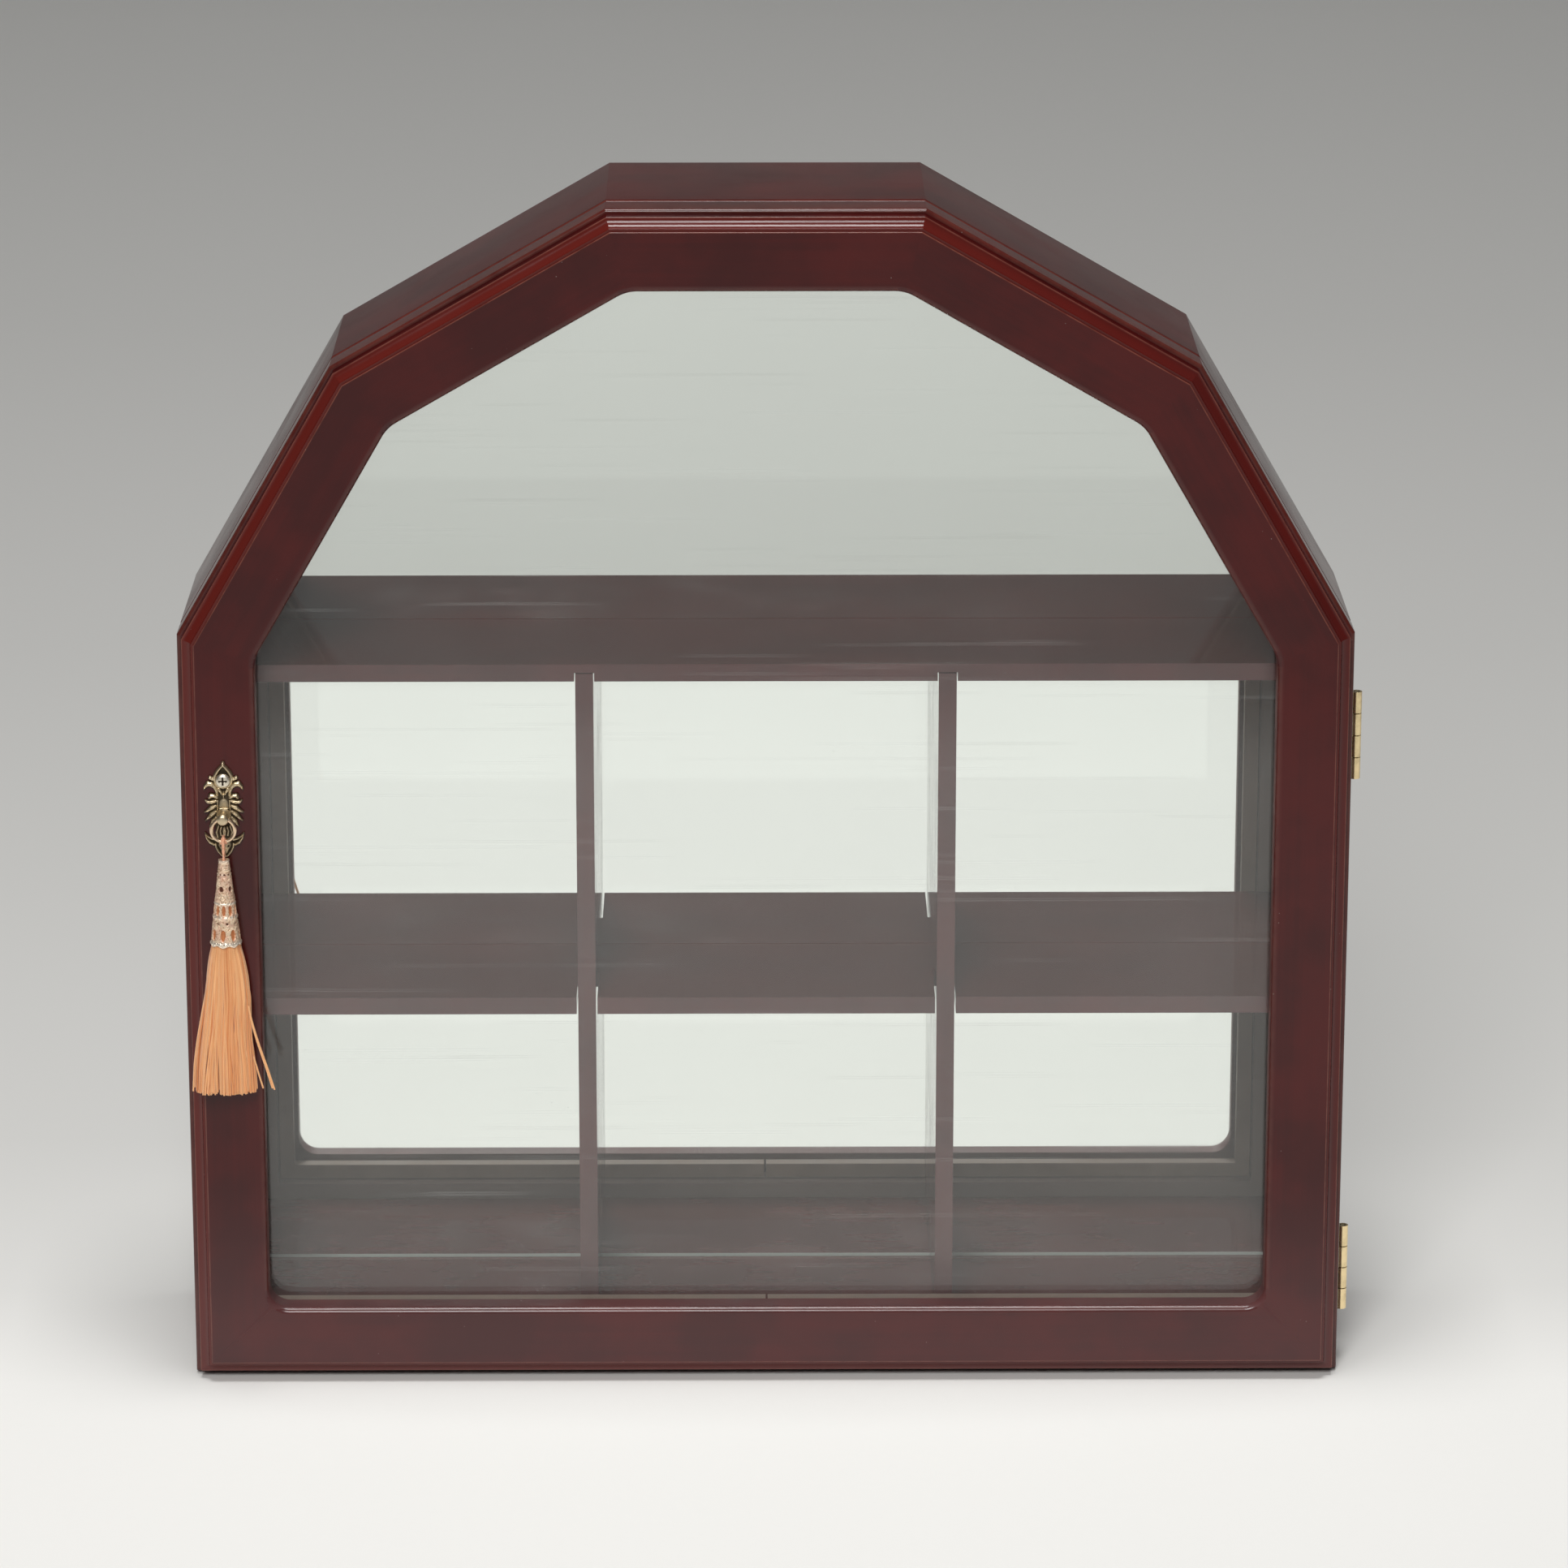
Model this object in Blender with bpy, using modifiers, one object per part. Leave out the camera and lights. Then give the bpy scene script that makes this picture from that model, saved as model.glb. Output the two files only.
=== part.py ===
"""Curio cabinet: a mirrored case with two shelves, two dividers and a glazed door that carries a tassel pull.

Metres, +Z up. The front faces -Y. The origin is on the underside, under the middle of the case's depth.
"""

import math

import bmesh
import bpy
from mathutils import Matrix, Vector

# Case, overall
CASE_WIDTH = 0.343
CASE_HEIGHT = 0.3556
CASE_DEPTH = 0.058
ARCH_FACETS = 12
BOARD = 0.013
CASE_ARRIS = 0.002

# Clearances and cuts
CLEAR = 0.0003
FINE_CLEAR = 0.0002
MITRE_GAP = 0.0003
CUT_OVERRUN = 0.004
WELD_DISTANCE = 0.00001

# Mirror and back
MIRROR_THICKNESS = 0.002
MIRROR_REBATE = 0.003
BACK_THICKNESS = 0.0025
BACK_REBATE = 0.007
BACK_INSET = 0.0008

# Shelves and dividers
SHELF_THICKNESS = 0.0052
SHELF_DADO = 0.003
UPPER_SHELF_DROP = 0.00907
MIDDLE_CELL_HEIGHT = 0.0976
DIVIDER_THICKNESS = 0.0053
CENTRE_CELL_WIDTH = 0.1015
DIVIDER_DADO = 0.0026
FLOOR_DADO = 0.002
LAP_DEPTH = 0.026
LAP_SLACK = 0.00045

# Door frame
DOOR_THICKNESS = 0.019
DOOR_GAP = 0.001
DOOR_LIFT = 0.0008
RAIL_WIDTH = 0.0228
CORNER_STOCK = 0.003
BACK_ARRIS = 0.0006
STEP_DEPTH = 0.0074
STEP_WIDTH = 0.0016
STEP_ARRIS = 0.001
LEDGE_DEPTH = 0.0036
LEDGE_OFFSET = 0.0019
COVE_RADIUS = 0.0027
FACE_SETBACK = 0.0053
OPENING_ARRIS = 0.002
BOTTOM_CORNER_RADIUS = 0.006
ARCH_CORNER_RADIUS = 0.011
REBATE_CORNER_RADIUS = 0.0005
GLASS_THICKNESS = 0.002
GLASS_REBATE = 0.006
GLASS_SHOULDER = 0.0077
RETAINER_DEPTH = 0.0042
RETAINER_WIDTH = 0.0045
RETAINER_JOINT = 0.0006

# Butt hinges
HINGE_LENGTH = 0.0265
HINGE_KNUCKLES = 4
HINGE_PROUD = 0.0021
KNUCKLE_RADIUS = 0.0016
HINGE_PIN_RADIUS = 0.0006
LEAF_THICKNESS = 0.0008
LEAF_WIDTH = 0.0096
UPPER_HINGE_DROP = 0.0342
LOWER_HINGE_HEIGHT = 0.0291
HINGE_SCREW_SPACING = 0.015
HINGE_SCREW_SETBACK = 0.0039

# Wood screws
SCREW_HEAD_RADIUS = 0.0017
SCREW_HEAD_DEPTH = 0.0009
SCREW_SHANK_RADIUS = 0.0008
SCREW_LENGTH = 0.008
SCREW_TIP = 0.0016

# Magnetic catch
CATCH_DROP = 0.07
CATCH_SETBACK = 0.0065
MAGNET_RADIUS = 0.004
MAGNET_LENGTH = 0.006
STRIKE_RADIUS = 0.0044
STRIKE_THICKNESS = 0.001

# Brads and the hanger on the back
BRAD_LENGTH = 0.009
BRAD_RADIUS = 0.0006
BRAD_HEAD_RADIUS = 0.0011
BRAD_HEAD_DEPTH = 0.0004
BRAD_SETBACK = 0.0081
HANGER_LENGTH = 0.044
HANGER_HEIGHT = 0.0072
HANGER_THICKNESS = 0.0008
HANGER_TOP_INSET = 0.0006
HANGER_TOOTH = 0.0018
HANGER_TEETH = 6
HANGER_PIN_INSET = 0.003
HANGER_PIN_HEAD_RADIUS = 0.0014
HANGER_PIN_HEAD_DEPTH = 0.0005

# Drop pull
PULL_SETBACK = 0.0132
PULL_DROP = 0.03605
PULL_PLATE_HEIGHT = 0.0291
PULL_PLATE_WIDTH = 0.0118
PULL_PLATE_THICKNESS = 0.0012
PULL_SCREW_DROP = 0.0054
PULL_SCREW_HEAD_RADIUS = 0.0021
PULL_SCREW_HEAD_DEPTH = 0.0012
PULL_SCREW_RADIUS = 0.0009
PULL_SCREW_LENGTH = 0.008
PIERCING_RADIUS = 0.0004
PIERCING_DROP = 0.0251
PIERCING_SPREAD = 0.0011
RING_RADIUS = 0.00342
RING_WIRE = 0.00055
RING_STANDOFF = 0.0052
RING_DROP = 0.01605
POST_RADIUS = 0.0019
POST_COLLAR_RADIUS = 0.0021
POST_COLLAR = 0.0006
POST_SHANK_RADIUS = 0.0012
POST_SHANK = 0.006
POST_TIP = 0.0007
POST_TIP_ROUND = 0.0005
POST_EYE_RADIUS = 0.00145

# Tassel
HITCH_WALL = 0.00035
HITCH_HALF_ANGLE = math.radians(33)
THREAD_RADIUS = 0.00035
LOOP_FOOT = 0.0006
LOOP_INSERT = 0.0021
CAP_DROP = 0.00546
CAP_HEIGHT = 0.02735
CAP_TOP_RADIUS = 0.0015
CAP_HEM_RADIUS = 0.00475
CAP_WALL = 0.0007
CAP_BORE_DEPTH = 0.006
SKIRT_LENGTH = 0.0445
SKIRT_PLUG = 0.018
SKIRT_WIDTH = 0.0184
SKIRT_DEPTH = 0.0092
SKIRT_FLUTES = 16
FLUTE_SHARE = 0.05

# Worked out from the sizes above
HALF_WIDTH = CASE_WIDTH / 2
ARCH_CENTRE = CASE_HEIGHT - HALF_WIDTH
SPRING_SLOPE = math.tan(math.pi / ARCH_FACETS)
OUTER_SPRING = ARCH_CENTRE + HALF_WIDTH * SPRING_SLOPE
INNER_SPRING = ARCH_CENTRE + (HALF_WIDTH - BOARD) * SPRING_SLOPE
CASE_FRONT = -CASE_DEPTH / 2
CASE_BACK = CASE_DEPTH / 2
DOOR_BACK = CASE_FRONT - DOOR_GAP
DOOR_FRONT = DOOR_BACK - DOOR_THICKNESS
BACK_REAR = CASE_BACK - BACK_INSET
BACK_FACE = BACK_REAR - BACK_THICKNESS
MIRROR_REAR = BACK_FACE - CLEAR
MIRROR_FACE = MIRROR_REAR - MIRROR_THICKNESS
MIRROR_SEAT = MIRROR_FACE - CLEAR
UPPER_SHELF_TOP = INNER_SPRING - UPPER_SHELF_DROP
MIDDLE_SHELF_TOP = UPPER_SHELF_TOP - SHELF_THICKNESS - MIDDLE_CELL_HEIGHT
DIVIDER_SPACING = CENTRE_CELL_WIDTH + DIVIDER_THICKNESS
HINGE_X = HALF_WIDTH + HINGE_PROUD
HINGE_Y = (CASE_FRONT + DOOR_BACK) / 2
HINGE_BORE = HINGE_PIN_RADIUS + CLEAR
UPPER_HINGE_HEIGHT = OUTER_SPRING - UPPER_HINGE_DROP
HINGE_HEIGHTS = {"upper": UPPER_HINGE_HEIGHT, "lower": LOWER_HINGE_HEIGHT}
CATCH_X = -HALF_WIDTH + CATCH_SETBACK
CATCH_HEIGHT = OUTER_SPRING - CATCH_DROP
PULL_X = -HALF_WIDTH + PULL_SETBACK
PULL_PLATE_TOP = OUTER_SPRING - PULL_DROP
PLATE_FRONT = DOOR_FRONT - CLEAR - PULL_PLATE_THICKNESS
RING_Y = DOOR_FRONT - RING_STANDOFF
RING_TOP = PULL_PLATE_TOP - RING_DROP
RING_CENTRE_Z = RING_TOP - RING_RADIUS
RING_FOOT_Z = RING_CENTRE_Z - RING_RADIUS
HITCH_BORE = RING_WIRE + FINE_CLEAR
HITCH_RADIUS = HITCH_BORE + HITCH_WALL
LOOP_RADIUS = HITCH_RADIUS + FINE_CLEAR + THREAD_RADIUS
CAP_TOP = RING_FOOT_Z - CAP_DROP
CAP_FOOT = CAP_TOP - CAP_HEIGHT
CAP_BORE_RADIUS = LOOP_FOOT + THREAD_RADIUS + FINE_CLEAR

# Facets of round shapes
CORNER_STEPS = 4
ARRIS_STEPS = 2
COVE_STEPS = 3
ROUND_SIDES = 16
SMALL_SIDES = 10
BRAD_SIDES = 8

BOARD_NAMES = (
    "bottom_board",
    "side_board_right",
    "lower_slope_board_right",
    "upper_slope_board_right",
    "top_board",
    "upper_slope_board_left",
    "lower_slope_board_left",
    "side_board_left",
)
RAIL_NAMES = (
    "door_rail_bottom",
    "door_stile_right",
    "door_rail_lower_right",
    "door_rail_upper_right",
    "door_rail_top",
    "door_rail_upper_left",
    "door_rail_lower_left",
    "door_stile_left",
)

# Brads that hold the back panel: the board each goes into and its place as a share of that board's edge
BRAD_SHARES = {
    "back_panel_brad_bottom_left": (0, 0.2),
    "back_panel_brad_bottom_right": (0, 0.8),
    "back_panel_brad_right_low": (1, 0.3),
    "back_panel_brad_right_high": (1, 0.85),
    "back_panel_brad_slope_right": (3, 0.5),
    "back_panel_brad_slope_left": (5, 0.5),
    "back_panel_brad_left_high": (7, 0.15),
    "back_panel_brad_left_low": (7, 0.7),
}

# Right half of the pull plate's outline: shares of its half width, and of its height down from its tip
PLATE_OUTLINE_SHARES = (
    (0.0, 0.0),
    (0.2, 0.068),
    (0.4, 0.13),
    (0.43, 0.175),
    (0.62, 0.17),
    (0.8, 0.205),
    (0.99, 0.3),
    (0.75, 0.262),
    (0.58, 0.275),
    (0.47, 0.31),
    (0.52, 0.355),
    (0.78, 0.365),
    (0.67, 0.405),
    (0.91, 0.425),
    (0.76, 0.47),
    (1.0, 0.53),
    (0.78, 0.565),
    (0.93, 0.625),
    (0.66, 0.63),
    (0.73, 0.685),
    (0.52, 0.715),
    (0.58, 0.79),
    (1.0, 0.745),
    (0.9, 0.83),
    (0.64, 0.88),
    (0.5, 0.885),
    (0.36, 0.945),
    (0.0, 1.0),
)

# Rings of the tassel's skirt: shares of its drop below the cap's hem, of its half width and of its half depth
SKIRT_SHARES = (
    (0.1, 0.51, 0.88),
    (0.3, 0.62, 0.92),
    (0.62, 0.82, 0.96),
    (0.93, 0.99, 0.96),
    (1.0, 1.0, 0.9),
)


def clear_scene():
    """Removes what a new file holds."""
    for obj in list(bpy.data.objects):
        bpy.data.objects.remove(obj)


def new_collection(name):
    collection = bpy.data.collections.new(name)
    bpy.context.scene.collection.children.link(collection)
    return collection


def material(name, colour, roughness, metallic=0.0, alpha=1.0):
    """A Principled material with one colour."""
    made = bpy.data.materials.get(name)
    if made is None:
        made = bpy.data.materials.new(name)
        made.use_nodes = True
        shader = made.node_tree.nodes["Principled BSDF"]
        shader.inputs["Base Color"].default_value = (*colour, 1.0)
        shader.inputs["Roughness"].default_value = roughness
        shader.inputs["Metallic"].default_value = metallic
        shader.inputs["Alpha"].default_value = alpha
    return made


def lacquered_wood():
    return material("cherry_lacquer", (0.085, 0.016, 0.013), 0.18)


def back_board_finish():
    return material("brown_hardboard", (0.16, 0.09, 0.05), 0.7)


def brown_plastic():
    return material("brown_plastic", (0.05, 0.022, 0.016), 0.45)


def mirror_finish():
    return material("silvered_glass", (0.9, 0.92, 0.9), 0.02, 1.0)


def clear_glass():
    return material("clear_glass", (0.9, 0.95, 0.92), 0.02, 0.0, 0.2)


def bright_brass():
    return material("bright_brass", (0.72, 0.55, 0.27), 0.25, 1.0)


def antique_brass():
    return material("antique_brass", (0.32, 0.24, 0.12), 0.35, 1.0)


def rose_gold():
    return material("rose_gold", (0.78, 0.45, 0.32), 0.3, 1.0)


def apricot_silk():
    return material("apricot_silk", (0.85, 0.42, 0.16), 0.5)


def dark_steel():
    return material("zinc_steel", (0.45, 0.45, 0.46), 0.35, 1.0)


def black_magnet():
    return material("ferrite", (0.03, 0.03, 0.035), 0.5)


def link(mesh, name, finish, collection):
    """An object that holds a mesh, in a collection."""
    obj = bpy.data.objects.new(name, mesh)
    collection.objects.link(obj)
    if finish is not None:
        obj.data.materials.append(finish)
    return obj


def mesh_object(bm, name, finish, collection, smooth=False):
    """An object from a bmesh, with its faces turned outwards; a round piece is shaded smooth."""
    bmesh.ops.recalc_face_normals(bm, faces=bm.faces[:])
    mesh = bpy.data.meshes.new(name)
    bm.to_mesh(mesh)
    bm.free()
    if smooth:
        mesh.shade_smooth()
        mesh.set_sharp_from_angle(angle=math.radians(40))
    return link(mesh, name, finish, collection)


def as_cutter(obj):
    """Marks an object as a cutter."""
    obj.hide_render = True
    obj.display_type = "WIRE"
    return obj


def combine(obj, others, operation):
    """Adds one exact Boolean for each of the other objects."""
    for other in others:
        modifier = obj.modifiers.new(other.name, "BOOLEAN")
        modifier.operation = operation
        modifier.object = other
    return obj


def cut(obj, *cutters):
    return combine(obj, cutters, "DIFFERENCE")


def join(obj, *others):
    return combine(obj, others, "UNION")


def box(name, low, high, finish=None, collection=None):
    """A box between two corners; without a finish it is a cutter."""
    bm = bmesh.new()
    size = Vector(high) - Vector(low)
    middle = (Vector(high) + Vector(low)) / 2
    bmesh.ops.create_cube(bm, size=1.0, matrix=Matrix.Translation(middle) @ Matrix.Diagonal((*size, 1.0)))
    if collection is None:
        return as_cutter(mesh_object(bm, name, finish, CUTTERS))
    return mesh_object(bm, name, finish, collection)


def rod(name, start, end, radius, end_radius=None, sides=ROUND_SIDES, finish=None, collection=None):
    """A cylinder or cone between two points; without a finish it is a cutter."""
    bm = bmesh.new()
    run = Vector(end) - Vector(start)
    turn = Vector((0, 0, 1)).rotation_difference(run).to_matrix().to_4x4()
    place = Matrix.Translation((Vector(start) + Vector(end)) / 2) @ turn
    last = radius if end_radius is None else end_radius
    bmesh.ops.create_cone(
        bm, cap_ends=True, segments=sides, radius1=radius, radius2=last, depth=run.length, matrix=place
    )
    if collection is None:
        return as_cutter(mesh_object(bm, name, finish, CUTTERS, smooth=True))
    return mesh_object(bm, name, finish, collection, smooth=True)


def turned(name, profile, place, steps, finish, collection, closed=False):
    """A profile of (radius, height) points, top to bottom, turned about the axis that place gives."""
    mesh = bpy.data.meshes.new(name)
    points = [(radius, 0, height) for radius, height in profile]
    edges = [(k, k + 1) for k in range(len(points) - 1)]
    if closed:
        edges.append((len(points) - 1, 0))
    mesh.from_pydata(points, edges, [])
    obj = link(mesh, name, finish, collection)
    obj.matrix_world = place
    screw = obj.modifiers.new("turn", "SCREW")
    screw.steps = steps
    screw.render_steps = steps
    screw.use_merge_vertices = True
    screw.merge_threshold = WELD_DISTANCE
    screw.use_smooth_shade = True
    return obj


def axis_place(point, direction):
    """A matrix whose Z axis points along a direction from a point."""
    turn = Vector((0, 0, 1)).rotation_difference(Vector(direction)).to_matrix().to_4x4()
    return Matrix.Translation(point) @ turn


def tube(name, points, radius, finish, collection, cyclic=False, resolution=2):
    """A curve object with a round bevel along the points."""
    curve = bpy.data.curves.new(name, "CURVE")
    curve.dimensions = "3D"
    curve.bevel_depth = radius
    curve.bevel_resolution = resolution
    curve.use_fill_caps = not cyclic
    spline = curve.splines.new("POLY")
    spline.points.add(len(points) - 1)
    for target, point in zip(spline.points, points):
        target.co = (*point, 1.0)
    spline.use_cyclic_u = cyclic
    return link(curve, name, finish, collection)


def as_mesh(obj):
    """Turns a curve object into a mesh object with welded caps."""
    graph = bpy.context.evaluated_depsgraph_get()
    mesh = bpy.data.meshes.new_from_object(obj.evaluated_get(graph))
    name = obj.name
    place = obj.matrix_world.copy()
    collection = obj.users_collection[0]
    finish = obj.data.materials[0]
    bpy.data.objects.remove(obj)
    bm = bmesh.new()
    bm.from_mesh(mesh)
    bmesh.ops.remove_doubles(bm, verts=bm.verts[:], dist=WELD_DISTANCE)
    made = mesh_object(bm, name, None, collection, smooth=True)
    made.data.materials.append(finish)
    made.matrix_world = place
    return made


def circle_points(centre, radius, sides):
    """Points of a circle in a flat outline."""
    angles = [2 * math.pi * k / sides for k in range(sides)]
    return [(centre[0] + radius * math.cos(a), centre[1] + radius * math.sin(a)) for a in angles]


def flat_piece(name, outlines, middle_y, thickness, finish, collection):
    """A plate in the XZ plane: a filled 2D curve of an outline and its holes, extruded both ways."""
    curve = bpy.data.curves.new(name, "CURVE")
    curve.dimensions = "2D"
    curve.fill_mode = "BOTH"
    curve.extrude = thickness / 2
    for points in outlines:
        spline = curve.splines.new("POLY")
        spline.points.add(len(points) - 1)
        for target, (x, z) in zip(spline.points, points):
            target.co = (x, z, 0, 1)
        spline.use_cyclic_u = True
    obj = link(curve, name, finish, collection)
    obj.matrix_world = Matrix.Translation((0, middle_y, 0)) @ Matrix.Rotation(math.pi / 2, 4, "X")
    return obj


def outline(offset, base=0.0):
    """Corners of the front outline moved inwards by offset, anticlockwise from the bottom left, as (x, z)."""
    apothem = HALF_WIDTH - offset
    radius = apothem / math.cos(math.pi / ARCH_FACETS)
    corners = [(-apothem, base + offset), (apothem, base + offset)]
    for k in range(ARCH_FACETS // 2):
        angle = math.pi * (2 * k + 1) / ARCH_FACETS
        corners.append((radius * math.cos(angle), ARCH_CENTRE + radius * math.sin(angle)))
    return corners


def edge_frame(index, base=0.0):
    """Start, end, direction and inward normal of one edge of the outline."""
    corners = outline(0.0, base)
    start = Vector((corners[index][0], 0, corners[index][1]))
    last = corners[(index + 1) % len(corners)]
    end = Vector((last[0], 0, last[1]))
    along = (end - start).normalized()
    return start, end, along, Vector((-along.z, 0, along.x))


def rounded_outline(offset, base, bottom_radius, arch_radius):
    """The outline at an offset with its two bottom corners and its arch corners rounded."""
    corners = [Vector(corner) for corner in outline(offset, base)]
    points = []
    for k, corner in enumerate(corners):
        before = (corner - corners[k - 1]).normalized()
        after = (corners[(k + 1) % len(corners)] - corner).normalized()
        radius = bottom_radius if k < 2 else arch_radius
        turn = before.angle(after)
        inward = Vector((-before.y, before.x))
        centre = corner - before * radius * math.tan(turn / 2) + inward * radius
        for step in range(CORNER_STEPS + 1):
            spoke = -inward
            spoke.rotate(Matrix.Rotation(turn * step / CORNER_STEPS, 2))
            points.append(centre + spoke * radius)
    return points


def lofted_cutter(name, sections):
    """A closed loft through outlines of (x, z) points at rising y."""
    bm = bmesh.new()
    rings = [[bm.verts.new((point[0], y, point[1])) for point in points] for y, points in sections]
    for near, far in zip(rings, rings[1:]):
        for k, vert in enumerate(near):
            after = (k + 1) % len(near)
            bm.faces.new((vert, near[after], far[after], far[k]))
    bm.faces.new(rings[0])
    bm.faces.new(rings[-1])
    return as_cutter(mesh_object(bm, name, None, CUTTERS))


def mitre_cut(bm, point, normal):
    """Cuts away what lies past a plane and closes the cut."""
    everything = bm.verts[:] + bm.edges[:] + bm.faces[:]
    bmesh.ops.bisect_plane(bm, geom=everything, plane_co=point, plane_no=normal, clear_outer=True)
    rim = [one for one in bm.edges if one.is_boundary]
    bmesh.ops.edgeloop_fill(bm, edges=rim)


def mitred_piece(name, index, profile, base, finish, collection):
    """A profile of (inward offset, y) points run along one edge of the outline and mitred at both ends."""
    start, end, along, inward = edge_frame(index, base)
    before = edge_frame(index - 1, base)[2]
    after = edge_frame((index + 1) % len(BOARD_NAMES), base)[2]
    bm = bmesh.new()
    first = start - along * CUT_OVERRUN
    ring = [bm.verts.new(first + inward * offset + Vector((0, y, 0))) for offset, y in profile]
    face = bm.faces.new(ring)
    run = bmesh.ops.extrude_face_region(bm, geom=[face])
    moved = [item for item in run["geom"] if isinstance(item, bmesh.types.BMVert)]
    length = (end - start).length + 2 * CUT_OVERRUN
    bmesh.ops.translate(bm, vec=along * length, verts=moved)
    start_normal = (before + along).normalized()
    end_normal = (along + after).normalized()
    mitre_cut(bm, start + start_normal * MITRE_GAP / 2, -start_normal)
    mitre_cut(bm, end - end_normal * MITRE_GAP / 2, end_normal)
    return mesh_object(bm, name, finish, collection)


def arc(centre, radius, first, last, steps):
    """Points of an arc as (offset, y) pairs; the angles are from the offset axis towards y."""
    angles = [first + (last - first) * k / steps for k in range(steps + 1)]
    return [(centre[0] + radius * math.cos(a), centre[1] + radius * math.sin(a)) for a in angles]


def board_profile():
    """Section of a case board: rounded front arris outside, rebates for mirror and back inside."""
    front = arc((CASE_ARRIS, CASE_FRONT + CASE_ARRIS), CASE_ARRIS, math.pi, 3 * math.pi / 2, COVE_STEPS)
    return [
        (0, CASE_BACK),
        *front,
        (BOARD, CASE_FRONT),
        (BOARD, MIRROR_SEAT),
        (BOARD - MIRROR_REBATE, MIRROR_SEAT),
        (BOARD - MIRROR_REBATE, MIRROR_REAR),
        (BOARD - BACK_REBATE, MIRROR_REAR),
        (BOARD - BACK_REBATE, CASE_BACK),
    ]


def rail_profile():
    """Section of a door rail before the opening is cut: stepped outside, a cove, then the flat face."""
    step_centre = (STEP_ARRIS, DOOR_FRONT + STEP_DEPTH + STEP_ARRIS)
    step = arc(step_centre, STEP_ARRIS, math.pi, 3 * math.pi / 2, ARRIS_STEPS)
    cove_centre = (LEDGE_OFFSET, DOOR_FRONT + LEDGE_DEPTH - COVE_RADIUS)
    cove = arc(cove_centre, COVE_RADIUS, math.pi / 2, 0.0, COVE_STEPS)
    stock = RAIL_WIDTH + CORNER_STOCK
    return [
        (BACK_ARRIS, DOOR_BACK),
        (0, DOOR_BACK - BACK_ARRIS),
        *step,
        (STEP_WIDTH, DOOR_FRONT + STEP_DEPTH),
        *cove,
        (FACE_SETBACK, cove[-1][1]),
        (FACE_SETBACK, DOOR_FRONT),
        (stock, DOOR_FRONT),
        (stock, DOOR_BACK),
    ]


def opening_cutter():
    """The door's opening: rounded arris in front, plain wall, then the wider rebate for the glass."""
    sections = [
        (
            DOOR_FRONT - CUT_OVERRUN,
            rounded_outline(RAIL_WIDTH - OPENING_ARRIS, DOOR_LIFT, BOTTOM_CORNER_RADIUS, ARCH_CORNER_RADIUS),
        )
    ]
    for step in range(COVE_STEPS + 1):
        angle = math.pi / 2 * step / COVE_STEPS
        offset = RAIL_WIDTH - OPENING_ARRIS * (1 - math.sin(angle))
        depth = OPENING_ARRIS * (1 - math.cos(angle))
        ring = rounded_outline(offset, DOOR_LIFT, BOTTOM_CORNER_RADIUS, ARCH_CORNER_RADIUS)
        sections.append((DOOR_FRONT + depth, ring))
    shoulder = DOOR_FRONT + GLASS_SHOULDER
    wall = rounded_outline(RAIL_WIDTH, DOOR_LIFT, BOTTOM_CORNER_RADIUS, ARCH_CORNER_RADIUS)
    rebate = rounded_outline(
        RAIL_WIDTH - GLASS_REBATE, DOOR_LIFT, REBATE_CORNER_RADIUS, REBATE_CORNER_RADIUS
    )
    sections.append((shoulder, wall))
    sections.append((shoulder, rebate))
    sections.append((DOOR_BACK + CUT_OVERRUN, rebate))
    return lofted_cutter("door_opening_cut", sections)


def countersunk(name, face_point, direction, collection):
    """A countersunk wood screw whose head is flush with a face; direction points out of the face."""
    profile = [
        (0, 0),
        (SCREW_HEAD_RADIUS, 0),
        (SCREW_SHANK_RADIUS, -SCREW_HEAD_DEPTH),
        (SCREW_SHANK_RADIUS, SCREW_TIP - SCREW_LENGTH),
        (0, -SCREW_LENGTH),
    ]
    return turned(name, profile, axis_place(face_point, direction), SMALL_SIDES, dark_steel(), collection)


def screw_cutters(name, face_point, direction):
    """The countersink and pilot hole for a countersunk screw."""
    out = Vector(direction)
    point = Vector(face_point)
    head = SCREW_HEAD_RADIUS + CLEAR
    shank = SCREW_SHANK_RADIUS + CLEAR
    slope = (head - shank) / SCREW_HEAD_DEPTH
    sink = rod(
        name + "_sink",
        point + out * SCREW_HEAD_DEPTH,
        point - out * SCREW_HEAD_DEPTH,
        head + slope * SCREW_HEAD_DEPTH,
        shank,
        SMALL_SIDES,
    )
    bottom = point - out * (SCREW_LENGTH + CLEAR)
    pilot = rod(name + "_pilot", point + out * CLEAR, bottom, shank, None, SMALL_SIDES)
    return sink, pilot


def case_boards():
    """The eight mitred boards of the case, by name."""
    profile = board_profile()
    return {
        name: mitred_piece(name, index, profile, 0.0, lacquered_wood(), PARTS)
        for index, name in enumerate(BOARD_NAMES)
    }


def door_rails():
    """The eight mitred rails of the door, by name, with the opening cut through all of them."""
    profile = rail_profile()
    cutter = opening_cutter()
    rails = {}
    for index, name in enumerate(RAIL_NAMES):
        rails[name] = mitred_piece(name, index, profile, DOOR_LIFT, lacquered_wood(), PARTS)
        cut(rails[name], cutter)
    return rails


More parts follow.
